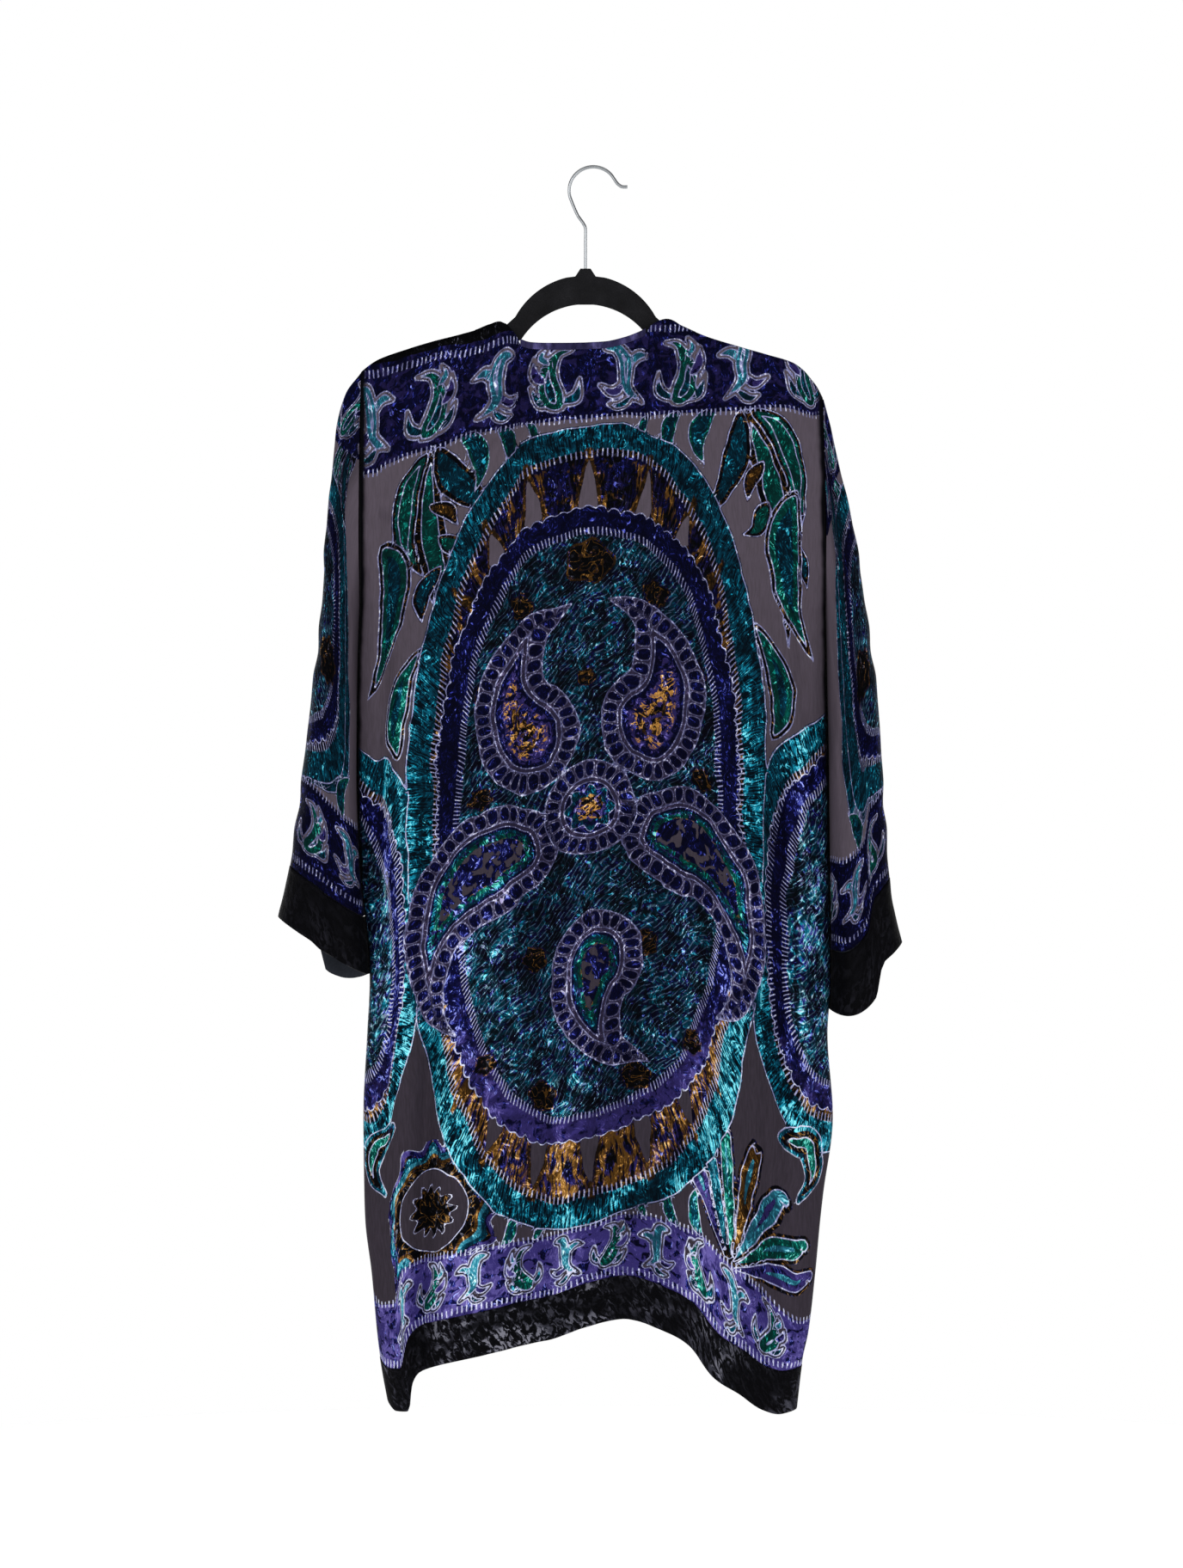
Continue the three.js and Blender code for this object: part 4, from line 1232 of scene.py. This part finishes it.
def burnout_velvet():
    g = Graph("burnout_velvet")
    s, t, light = g.attribute("cloth")
    sheer, teal, cyan = g.attribute("print_a")
    green, violet, ochre = g.attribute("print_b")
    black, chain, hatch = g.attribute("print_c")
    lines, gaps = g.attribute("lines"), g.attribute("gaps")
    bead, bead_arc, covered = g.attribute("beads")
    out, within, arc = g.attribute("rings")
    # Painted sheen and glints of the crushed pile, brighter where the painted light is higher
    level, glint, streak, broad = crush(g, s, t, light)
    shine = level + glint

    def spots(size, layer=0.0, detail=2, roughness=0.6, distortion=0.0):
        return g.noise(g.vector(s, t, layer), size, detail, roughness, distortion)

    def pile(name, at=shine):
        return pile_colour(g, name, at)

    ragged = spots(3.4)
    wobble = (ragged - 0.5) * 1.6
    low = g.step(t, 240, 860)

    def cover(field, edge=0.5):
        return g.step(field + wobble, -edge, edge)

    # Brush streaks across the rim
    rim = g.step(out, -1, 2) * g.step(out, RIM + 4, RIM + 1)
    brush = g.noise(g.vector(arc, out * 0.1), 1.5)
    brushed = (g.step(brush, 0.42, 0.6) * (broad * 0.4 + 0.4) - 0.24) * rim * (light * 1.2 + 0.3)

    # Soft mottling in violet and navy
    blue = spots(8, 60.0, 3, 0.6, 0.8)
    mottle = g.noise(g.vector(s * 0.7, t, 90.0), 9, 3, 0.6, 0.7)
    navy, plain = pile("navy"), pile("black")
    hem = g.step(t, HEM_BAND[0] - 2, HEM_BAND[0] + 2)
    soft_violet = pile("violet", level * 0.75 + glint * 0.3 + hem * 0.12 + 0.1)
    scallop = g.step(within, -30, -18) * g.step(within, 6, 3) * g.step(out, RIM, RIM + 4)
    yoke = g.step(t, YOKE[1] + 4, YOKE[1] - 4) * g.step(t, 100, 120)
    low_veil = scallop * g.step(t + mottle * 300, 980, 1120) * g.step(blue, 0.36, 0.48)
    veiled = g.largest(g.step(mottle, 0.5, 0.6) * yoke * 0.45, low_veil)
    colour = g.mix(veiled, navy, soft_violet)

    # The ring's streaks, and gold cracks in the other black
    ring = g.step(out, RIM + 3, RIM + 6) * g.step(within, -16, -20)
    radial = g.noise(g.vector(arc, out * 0.16, 20.0), 2.8)
    patch = g.noise(g.vector(arc, out * 0.5, 33.0), 15, 2, 0.6, 0.6)
    gold = pile("ochre", shine + 0.2)
    crack = g.step(abs(spots(15, 110.0, 1, 0.6, 1.2) - 0.5), 0.022, 0.01) * g.step(t, 170, 180) * 0.6
    purple = g.step(radial, 0.52, 0.62) * g.step(patch, 0.54, 0.44) * (low * 0.7 + 0.3)
    golden = g.step(radial, 0.44, 0.54) * g.step(patch + low * 0.1, 0.52, 0.6)
    streaked = g.mix(g.step(blue, 0.44, 0.54), plain, navy)
    streaked = g.mix(golden, g.mix(purple, streaked, soft_violet), gold)
    filled = (
        (teal, pile("teal", shine + brushed)),
        (cyan, pile("cyan")),
        (green, pile("green", shine * 1.25 + 0.03)),
        (violet, g.mix(g.step(mottle, 0.42, 0.48), navy, soft_violet)),
        (black, g.mix(ring, g.mix(crack, plain, gold), streaked)),
        (ochre, pile("ochre")),
    )
    for field, fill in filled:
        colour = g.mix(cover(field), colour, fill)

    # Scribbles and flecks inside the paisleys
    inside = g.step(bead, CHAIN + 3, CHAIN + 6)
    scribble = g.step(abs(spots(12, 70.0, 2, 0.6, 1.2) - 0.5), 0.05, 0.035)
    scribble = scribble * g.step(mottle, 0.47, 0.54) * g.step(bead, CHAIN + 8, CHAIN + 11)
    fleck = g.step(blue, 0.52, 0.56)
    lush = g.step(g.largest(green, teal, sheer), -1.0, 1.0)
    colour = g.mix(inside * lush * fleck, colour, pile("navy", shine * 1.2))
    colour = g.mix(inside * (1 - lush) * fleck, colour, pile("violet", shine * 1.2 + 0.1))
    colour = g.mix(inside * (1 - lush) * scribble, colour, pile("ochre", shine + 0.45))

    # Slanted strokes of the medallion's inner field, in rows that bend a little
    bent = (spots(46, 30.0, 2, 0.5) - 0.5) * 64
    row = t / ROW + bent * 0.04
    chance = g.math("FRACT", g.math("SINE", g.math("FLOOR", row) * 12.99) * 43.76)
    leaned = (s + t * LEAN + bent * 0.6) / STROKE + chance
    across = g.aside(leaned) * STROKE
    along = g.aside(row + g.math("FLOOR", leaned) * 0.37) * ROW
    dense = spots(20, 44.0, 2, 0.6, 0.8)
    width = dense * 2.2 - 0.22
    stroke = g.step(across + wobble * 0.4, width, width * 0.4) * g.step(along, 6.4, 5.0)
    mottled = g.mix(g.step(blue, 0.45, 0.56), pile("teal", shine * 1.1), navy)
    mottled = g.mix(g.step(dense, 0.54, 0.42) * 0.8, mottled, plain)
    stroke_colour = g.ramp(shine + (dense - 0.45) * 0.5, *STROKES)
    colour = g.mix(cover(hatch), colour, g.mix(stroke, mottled, stroke_colour))

    # Chain borders with beads between pale lines
    weight = g.step(spots(9, 9.0), 0.3, 0.55, 0.25, 1.0)
    links = g.aside(bead_arc / BEAD) * BEAD
    middle = abs(bead - (CHAIN - 4.5) / 2)
    drop = ((links / 4.6) ** 2.6 + (middle / 6.6) ** 2.6) ** 0.385
    beads = g.step(drop, 1.08, 0.95)
    halo = g.step(abs(drop - 1.2), 0.15, 0.04)
    chained = g.mix(beads, pile("chain", shine * 0.9 + 0.1), pile("navy", shine * 0.9))
    # Pale and faint lines brighten with the painted sheen and glints, the pale ones with the painted light
    # as well
    pale = g.ramp(shine * 0.9 + streak * 0.4 + light * 0.3 + 0.08, *PALE)
    faint = g.ramp(shine * 0.9 + streak * 0.3, *PALE)
    colour = g.mix(cover(chain), colour, g.mix(halo * weight * 0.55, chained, faint))

    # Sheer ground where the pile is burnt out
    grain = g.step(g.noise(g.vector(s, t * 0.12), 2.2, 3), 0.3, 0.7)
    high_ground, low_ground = ([rgba(tone) for tone in tones] for tones in GROUND)
    # Painted shade: the sheer ground darkens lower down
    ground = g.mix(low, g.mix(grain, *high_ground), g.mix(grain, *low_ground))
    blobs = g.step(spots(11, 130.0, 1, 0.5, 0.5), 0.57, 0.53)
    bare = cover(sheer, 0.4) * (1 - g.step(bead, CHAIN, CHAIN + 3) * blobs)
    colour = g.mix(bare, colour, ground)

    # Thin pale outlines and rows of dashes
    strokes = [g.step(abs(line), 0.8, 0.25) * g.step(gap, 3.0, 2.2) for line, gap in zip(lines, gaps)]
    drawn = g.largest(*strokes) * weight
    teeth = g.step(g.aside((s + wobble) / DASH) * DASH, 0.95, 0.45) * (weight * 0.5 + 0.5)
    for place in YOKE + HEM_BAND + SLEEVE_BAND:
        drawn = g.largest(drawn, teeth * g.step(abs(t - place + wobble), 3.8, 2.8))
    teeth = g.step(g.aside(arc / RING_DASH) * RING_DASH, 0.9, 0.4) * g.step(out, 0, 4)
    teeth = teeth * g.step(covered, 0.5, -0.5) * (weight * 0.4 + 0.4)
    for ring_gap in (abs(out - RIM - 3), abs(within - 4)):
        drawn = g.largest(drawn, teeth * g.step(ring_gap + wobble, 4.4, 3.2))
    colour = g.mix(drawn, colour, g.mix(g.step(bead, -5, -3), pale, faint))
    # Painted shade: near-black where the painted light falls below 0, in the valleys beside the sleeves and
    # in the troughs of the folds
    colour = g.mix(g.step(light, 0.0, -0.8), colour, rgba("#040407"))

    raised = 1 - bare
    height = raised * 0.6 + streak * raised * 0.35 + ragged * raised * 0.3
    rough = bare * 0.12 + 0.62 - streak * raised * 0.16
    return g.surface(Base_Color=colour, Roughness=rough, Normal=g.bump(height), **NAP)


def plain_velvet():
    g = Graph("plain_velvet")
    s, t, light = g.attribute("cloth")
    blotch = g.noise(g.vector(s * 0.7, t, 7.0), 24, 2, 0.5, 0.6)
    facet = g.noise(g.vector(s, t * 0.7), 6, 2, 0.6, 1.0)
    fine = g.noise(g.vector(s * 0.5, t, 3.0), 1.6)
    # Painted highlights: the facets and blotches of the crushed pile glint, brighter where the painted
    # light is higher
    shine = g.step(facet, 0.44, 0.6) * (g.step(blotch, 0.36, 0.62) * 0.6 + 0.12) + (fine - 0.5) * 0.25
    shine = shine * (light * 1.3 + 0.1)
    colour = g.ramp(shine, (0.0, "#060608"), (0.3, "#15151a"), (0.65, "#33333c"), (1.0, "#74747f"))
    height = facet * 0.9 + fine * 0.3 + blotch * 0.8
    return g.surface(Base_Color=colour, Roughness=0.6, Normal=g.bump(height), **NAP)


def reverse_side(name, dark, light_colour):
    """The duller ground weave seen from inside the garment."""
    g = Graph(name)
    s, t, _ = g.attribute("cloth")
    sheer, teal, _ = g.attribute("print_a")
    weave = g.noise(g.vector(s, t), 0.9, 1, 0.5)
    slub = g.noise(g.vector(s, t * 0.15), 2.5, 3)
    colour = g.mix(g.step(slub, 0.3, 0.7), rgba(dark), rgba(light_colour))
    colour = g.mix(g.step(sheer, -0.6, 0.6) * 0.5, colour, rgba("#4b434b"))
    colour = g.mix(g.step(teal, -0.6, 0.6) * 0.4, colour, rgba("#16343d"))
    normal = g.bump(weave * 0.15 + slub * 0.1)
    return g.surface(Base_Color=colour, Roughness=0.85, Normal=normal, Specular_IOR_Level=0.015)


def binding_cloth():
    g = Graph("binding")
    s, t, _ = g.attribute("cloth")
    twill = g.noise(g.vector(s, t), 1.2, 2, 0.5)
    tone = g.noise(g.vector(s, t * 0.4, 5.0), 9, 3)
    colour = g.ramp(tone, (0.25, "#151428"), (0.55, "#2d2a4a"), (0.8, "#5b5688"))
    return g.surface(Base_Color=colour, Roughness=0.7, Normal=g.bump(twill * 0.3), Specular_IOR_Level=0.015)


def object_place(g):
    source = g.node("TexCoord")
    return Value(g, source.outputs["Object"])


def flock():
    g = Graph("flock")
    place = object_place(g)
    fibre, worn = g.noise(place, 0.0009, 3, 0.7), g.noise(place, 0.02, 3)
    colour = g.ramp(worn * 0.5 + fibre * 0.5, (0.3, "#0f0f10"), (0.55, "#18181a"), (0.8, "#27272a"))
    nap = dict(Sheen_Weight=0.03, Sheen_Roughness=0.5, Specular_IOR_Level=0.05)
    return g.surface(Base_Color=colour, Roughness=0.95, Normal=g.bump(fibre * 0.35), **nap)


def wire():
    g = Graph("wire")
    drawn = g.noise(object_place(g), 0.004, 4)
    rough = g.step(drawn, 0.3, 0.8, 0.2, 0.26)
    colour = g.ramp(drawn, (0.3, "#909396"), (0.7, "#9a9da0"))
    return g.surface(Base_Color=colour, Roughness=rough, Metallic=1.0)


def floor_paint():
    g = Graph("floor")
    grain = g.noise(object_place(g), 0.02, 2, 0.5)
    colour = g.ramp(grain, (0.0, "#f4f4f3"), (1.0, "#f7f7f7"))
    glow = dict(Emission_Color=rgba("#ffffff"), Emission_Strength=0.7)
    return g.surface(Base_Color=colour, Roughness=0.9, Specular_IOR_Level=0.1, **glow)


# Pieces


def declare(piece, node):
    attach(piece, "root")
    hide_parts(node)
    return piece


def cloth_at(s, t, light):
    return {"cloth": np.stack([s, t, light], -1)}


def plain_cloth(side):
    def attributes(u, v, middle):
        s, _, light = body_cloth(side, middle)
        return cloth_at(s, -middle[..., 2], light)

    return attributes


def printed_body(side):
    def attributes(u, v, middle):
        s, t, light = body_cloth(side, middle)
        cloth = Print(s, t)
        paint_body(cloth)
        return cloth.attributes() | cloth_at(s, t, light)

    return attributes


def make_back(materials):
    def point(u, v):
        start, end = BINDING_ENDS
        bound = smooth(u, start - BINDING_FADE, start) * (1 - smooth(u, end, end + BINDING_FADE))
        top = neckline(u) + (BINDING + SEWN) * bound
        bottom = back_hem(u) - BORDER - seam_above(back_hem, u)
        return body_point("back", back_across(u), row_down(v, top, bottom))

    us, vs = steps_over(BACK_WIDE), steps_over(BODY_LONG)
    return shell("back", point, us, vs, CLOTH, materials, printed_body("back"))


def make_front(hand, materials):
    def point(u, v):
        top = top_of(lambda down: body_point("front", front_across(hand, u, down), down)[..., 0])
        bottom = front_hem(hand, u) - BORDER - seam_above(lambda at: front_hem(hand, at), u)
        down = row_down(v, top, bottom)
        return body_point("front", front_across(hand, u, down), down)

    us, vs = steps_over(FRONT_WIDE, WIDE_CELL), steps_over(BODY_LONG, WIDE_CELL)
    return shell(f"front_{hand}", point, us, vs, CLOTH, materials, printed_body("front"))


def make_front_band(hand, materials):
    def point(u, v):
        top = top_of(lambda down: front_x(hand, u * FRONT_BAND, down))
        bottom = read(HEM_FRONT, "across", "down", front_x(hand, u * FRONT_BAND, NEAR_HEM))
        down = row_down(v, top, bottom)
        return body_point("front", q_of(front_x(hand, u * FRONT_BAND, down), down), down)

    us, vs = steps_over(FRONT_BAND, WIDE_CELL), steps_over(BAND_LONG, WIDE_CELL)
    return shell(f"front_band_{hand}", point, us, vs, DOUBLED, materials, plain_cloth("front"))


def make_hem(materials):
    def point(u, v):
        on_back = (u >= 1) & (u <= 2)
        across = np.clip(u - 1, 0, 1)
        hem = back_hem(across)
        back = body_point("back", back_across(across), mix(hem - BORDER, hem, v))
        fronts = []
        for hand, share in (("left", np.clip(u, 0, 1)), ("right", np.clip(3 - u, 0, 1))):
            hem = front_hem(hand, share)
            down = mix(hem - BORDER, hem, v)
            fronts.append(body_point("front", front_across(hand, share, down), down))
        return np.where(on_back[..., None], back, np.where((u < 1)[..., None], fronts[0], fronts[1]))

    front, back = steps_over(FRONT_WIDE), steps_over(BACK_WIDE)
    us = np.concatenate([front, 1 + back[1:], 2 + front[1:]])

    def attributes(u, v, middle):
        s = lengths(middle, 1)
        side = np.where((u > 1) & (u < 2), 1.0, 0.0)
        # Painted light on the border's pile: in patches, and a little brighter along the back
        light = 0.6 + 0.35 * noise(s, v * BORDER, 60, 12) + 0.1 * side
        return cloth_at(s, v * BORDER, np.clip(light, 0, 1))

    return shell("hem_border", point, us, steps_over(BORDER), DOUBLED, materials, attributes)


def make_binding(materials):
    def point(u, v):
        return body_point("back", back_across(u), neckline(u) + v * BINDING)

    def attributes(u, v, middle):
        return cloth_at(lengths(middle, 1), v * BINDING, v * 0 + 0.5)

    us = mix(*BINDING_ENDS, steps_over(120, 1.8))
    return shell("neck_binding", point, us, steps_over(BINDING, 1.2), DOUBLED, materials, attributes)


def sleeve_cloth(middle):
    """Cloth coordinates of a sleeve: around from its outer line, and along it, up from the cuff, with the
    light and shade painted on it.
    """
    around = lengths(middle, 1)
    column = middle.shape[1] // 2
    s = around - around[:, column : column + 1]
    along = lengths(middle, 0)
    t = along - along[-1:] + along[-1, column]
    # Painted light: patches, and bands that run along the sleeve and repeat around it; painted shade in the
    # valley beside the body
    light = -0.02 + 0.3 * noise(s, t, 70, 21) + 0.16 * np.cos(s / 23)
    inner_gap = np.minimum(around, around[:, -1:] - around)
    return *drawn_by_hand(s, t, 51), np.clip(light, -0.3, 1) - seam_shade(inner_gap, -middle[..., 2])


def tube(name, hand, start, end, around, along, thickness, materials, attributes):
    """A stretch of a sleeve's tube, from one share of its length to another."""
    us, vs = steps_over(around, WIDE_CELL), mix(start, end, steps_over(along, WIDE_CELL))
    return shell(name, lambda u, v: sleeve_point(hand, u, v), us, vs, thickness, materials, attributes)


def make_sleeve(hand, materials):
    def attributes(u, v, middle):
        s, t, light = sleeve_cloth(middle)
        cloth = Print(s, t)
        length = float(t[-1].mean())
        paint_sleeve(cloth, length)
        return cloth.attributes() | cloth_at(s, t - length - SLEEVE_END, light)

    end = CUFF_FROM - CUFF_SEAM
    name, size = f"sleeve_{hand}", (SLEEVE_ROUND, SLEEVE_LONG)
    return tube(name, hand, 0, end, *size, CLOTH, materials, attributes)


def make_cuff(hand, materials):
    def attributes(u, v, middle):
        s, t = lengths(middle, 1), lengths(middle, 0)
        # Painted light on the cuff's pile, in patches
        return cloth_at(s, t, np.clip(0.2 + 0.6 * noise(s, t, 50, 33), 0, 1))

    name, size = f"cuff_{hand}", (CUFF_ROUND, CUFF_LONG)
    return tube(name, hand, CUFF_FROM, 1, *size, DOUBLED, materials, attributes)


HANGER = dict(thick=5, half_span=219, boss_top=102.5, boss_half=5.2, boss_foot=10.5)
ARCH = dict(top=109.3, radius=82, start=19.5, end=72)
INNER_ARCH = dict(top=139, radius=78, start=66, end=8)


def arch_points(top, radius, start, end, count=18):
    return [(out, top + radius - math.sqrt(radius**2 - out**2)) for out in np.linspace(start, end, count)]


def curve_object(name, points, material, closed=False):
    """A smooth curve through points, in mm."""
    data = bpy.data.curves.new(name, "CURVE")
    data.dimensions = "2D" if closed else "3D"
    spline = data.splines.new("POLY")
    spline.points.add(len(points) - 1)
    for target, place in zip(spline.points, points):
        target.co = [*(value * MM for value in place), 1]
    spline.use_cyclic_u = closed
    spline.use_smooth = True
    data.materials.append(material)
    return new_object(name, data)


def as_mesh(piece, turn=None):
    """The curve's mesh in its own right, so that its points can be turned into place."""
    depsgraph = bpy.context.evaluated_depsgraph_get()
    mesh = bpy.data.meshes.new_from_object(piece.evaluated_get(depsgraph))
    name = piece.name
    bpy.data.objects.remove(piece)
    points = np.empty(len(mesh.vertices) * 3, np.float32)
    mesh.vertices.foreach_get("co", points)
    if turn is not None:
        points = (points.reshape(-1, 3) @ np.array(turn, np.float32)).ravel()
        mesh.vertices.foreach_set("co", points)
    mesh.update()
    return new_object(name, mesh)


def make_hanger(material):
    """The flat flocked body: an arch at the neck and two arms under the shoulders, with round edges."""
    bevel = 1.9

    def half(side):
        line = [(HANGER["boss_half"], HANGER["boss_top"]), (HANGER["boss_foot"], ARCH["top"] + 1.2)]
        line += arch_points(**ARCH)
        line += [(82, 161), (90, 165.5)]
        for out in np.linspace(104, 209, 16):
            line.append((out, float(top_down(STEM_X + side * out)) + DOUBLED / 2 + 2 * SEAM))
        span = HANGER["half_span"]
        line += [(span - 2, 207), (span, 213.5), (span - 3, 222), (185, 213), (125, 195.5), (88, 185)]
        line += arch_points(**INNER_ARCH)
        return [(STEM_X + side * out, -down, 0) for out, down in line]

    piece = curve_object("hanger_body_flocked", half(1) + half(-1)[::-1], material, closed=True)
    data = piece.data
    data.fill_mode = "BOTH"
    data.extrude = (HANGER["thick"] / 2 - bevel) * MM
    data.bevel_depth = bevel * MM
    data.bevel_resolution = 3
    data.offset = -bevel * MM
    return as_mesh(piece, turn=[(1, 0, 0), (0, 0, 1), (0, -1, 0)])


def make_hook(material):
    """The wire hook: a stem, a bend, a loop over the rod and a turned-out tip."""
    wire_size, radius = 3.5, 24.6
    centre = wire_size / 2 - radius
    path = [(STEM_X, -down) for down in (102.2, 88.8, 75.4, 62)] + [(-10.4, -56), (-16.2, -47.5)]
    for angle in np.radians(np.linspace(204, 28, 13)):
        path.append((radius * math.cos(angle), centre + radius * math.sin(angle)))
    path += [(24.8, -15.6), (29.3, -18.6), (35, -18.9)]
    points = [(x, 0, z) for x, z in smooth_path(path, 8)]
    piece = curve_object("hanger_hook_wire", points, material)
    piece.data.bevel_depth = wire_size / 2 * MM
    piece.data.bevel_resolution = 6
    piece.data.use_fill_caps = True
    return as_mesh(piece)


# Camera, stage and lights


def area_light(name, place, aim, size, watts):
    data = bpy.data.lights.new(name, "AREA")
    data.shape = "RECTANGLE"
    data.size, data.size_y = size
    data.energy = watts
    light = new_object(name, data)
    light.location = place
    direction = Vector(aim) - Vector(place)
    light.rotation_euler = direction.to_track_quat("-Z", "Y").to_euler()


def make_camera():
    data = bpy.data.cameras.new("camera")
    data.sensor_fit = "VERTICAL"
    data.sensor_height = SENSOR
    data.lens = SENSOR * CAMERA_AWAY / FRAME_HEIGHT
    data.clip_end = 20
    camera = new_object("camera", data)
    camera.location = (CAMERA_X * MM, -CAMERA_AWAY * MM, -CAMERA_DOWN * MM)
    camera.rotation_euler = (math.pi / 2, 0, 0)
    bpy.context.scene.camera = camera


def make_stage():
    """A round white floor, far below the garment."""
    floor, radius, rings, spokes = -2.1, 4.2, 8, 64
    r, turn = np.meshgrid(np.linspace(0, radius, rings), np.linspace(0, 2 * math.pi, spokes + 1))
    points = np.stack([r * np.cos(turn), r * np.sin(turn), r * 0 + floor], -1).reshape(-1, 3) / MM
    mesh = new_mesh("floor", points, grid_faces(rings, spokes + 1), np.empty((0, 3), int))
    mesh.materials.append(floor_paint())
    stage = new_object("floor", mesh)


def make_lights():
    """Large soft lamps before and behind the garment, in a room that is white up to eye level."""
    middle = (0, 0, -0.7)
    for name, side in (("front", -1), ("behind", 1)):
        area_light(f"key_{name}", (side * 1.5, side * 2.9, 0.7), middle, (1.6, 2.2), 34)
        area_light(f"fill_{name}", (-side * 1.8, side * 2.9, -0.4), middle, (1.8, 2.4), 22.5)
    area_light("top", (0, -0.9, 1.6), middle, (2.4, 1.2), 10)
    world = bpy.data.worlds.new("studio")
    world.use_nodes = True
    tree = world.node_tree
    place = tree.nodes.new("ShaderNodeTexCoord")
    axes = tree.nodes.new("ShaderNodeSeparateXYZ")
    shade = tree.nodes.new("ShaderNodeMapRange")
    for socket, value in zip(shade.inputs, (0, CHANGE_FROM, CHANGE_TO, WORLD_LEVEL, WORLD_ABOVE)):
        socket.default_value = value
    background = tree.nodes["Background"]
    tree.links.new(place.outputs["Generated"], axes.inputs[0])
    tree.links.new(axes.outputs["Z"], shade.inputs[0])
    tree.links.new(shade.outputs[0], background.inputs["Strength"])
    background.inputs["Color"].default_value = (1, 1, 1, 1)
    bpy.context.scene.world = world
    bpy.context.scene.view_settings.view_transform = "Standard"


make_camera()
make_stage()
make_lights()

printed = (burnout_velvet(), reverse_side("velvet_reverse", "#17151f", "#2a2734"))
black = (plain_velvet(), reverse_side("plain_reverse", "#0c0c0e", "#1b1b1f"))
bound = (binding_cloth(), black[1])

binding = declare(make_binding(bound), "neck_binding")
declare(make_back(printed), "back")
for hand in ("left", "right"):
    declare(make_front(hand, printed), f"front_{hand}")
    declare(make_front_band(hand, black), f"front_band_{hand}")
    declare(make_sleeve(hand, printed), f"sleeve_{hand}")
    declare(make_cuff(hand, black), f"cuff_{hand}")
declare(make_hem(black), "hem_border")
declare(make_hanger(flock()), "hanger_body")
declare(make_hook(wire()), "hanger_hook")
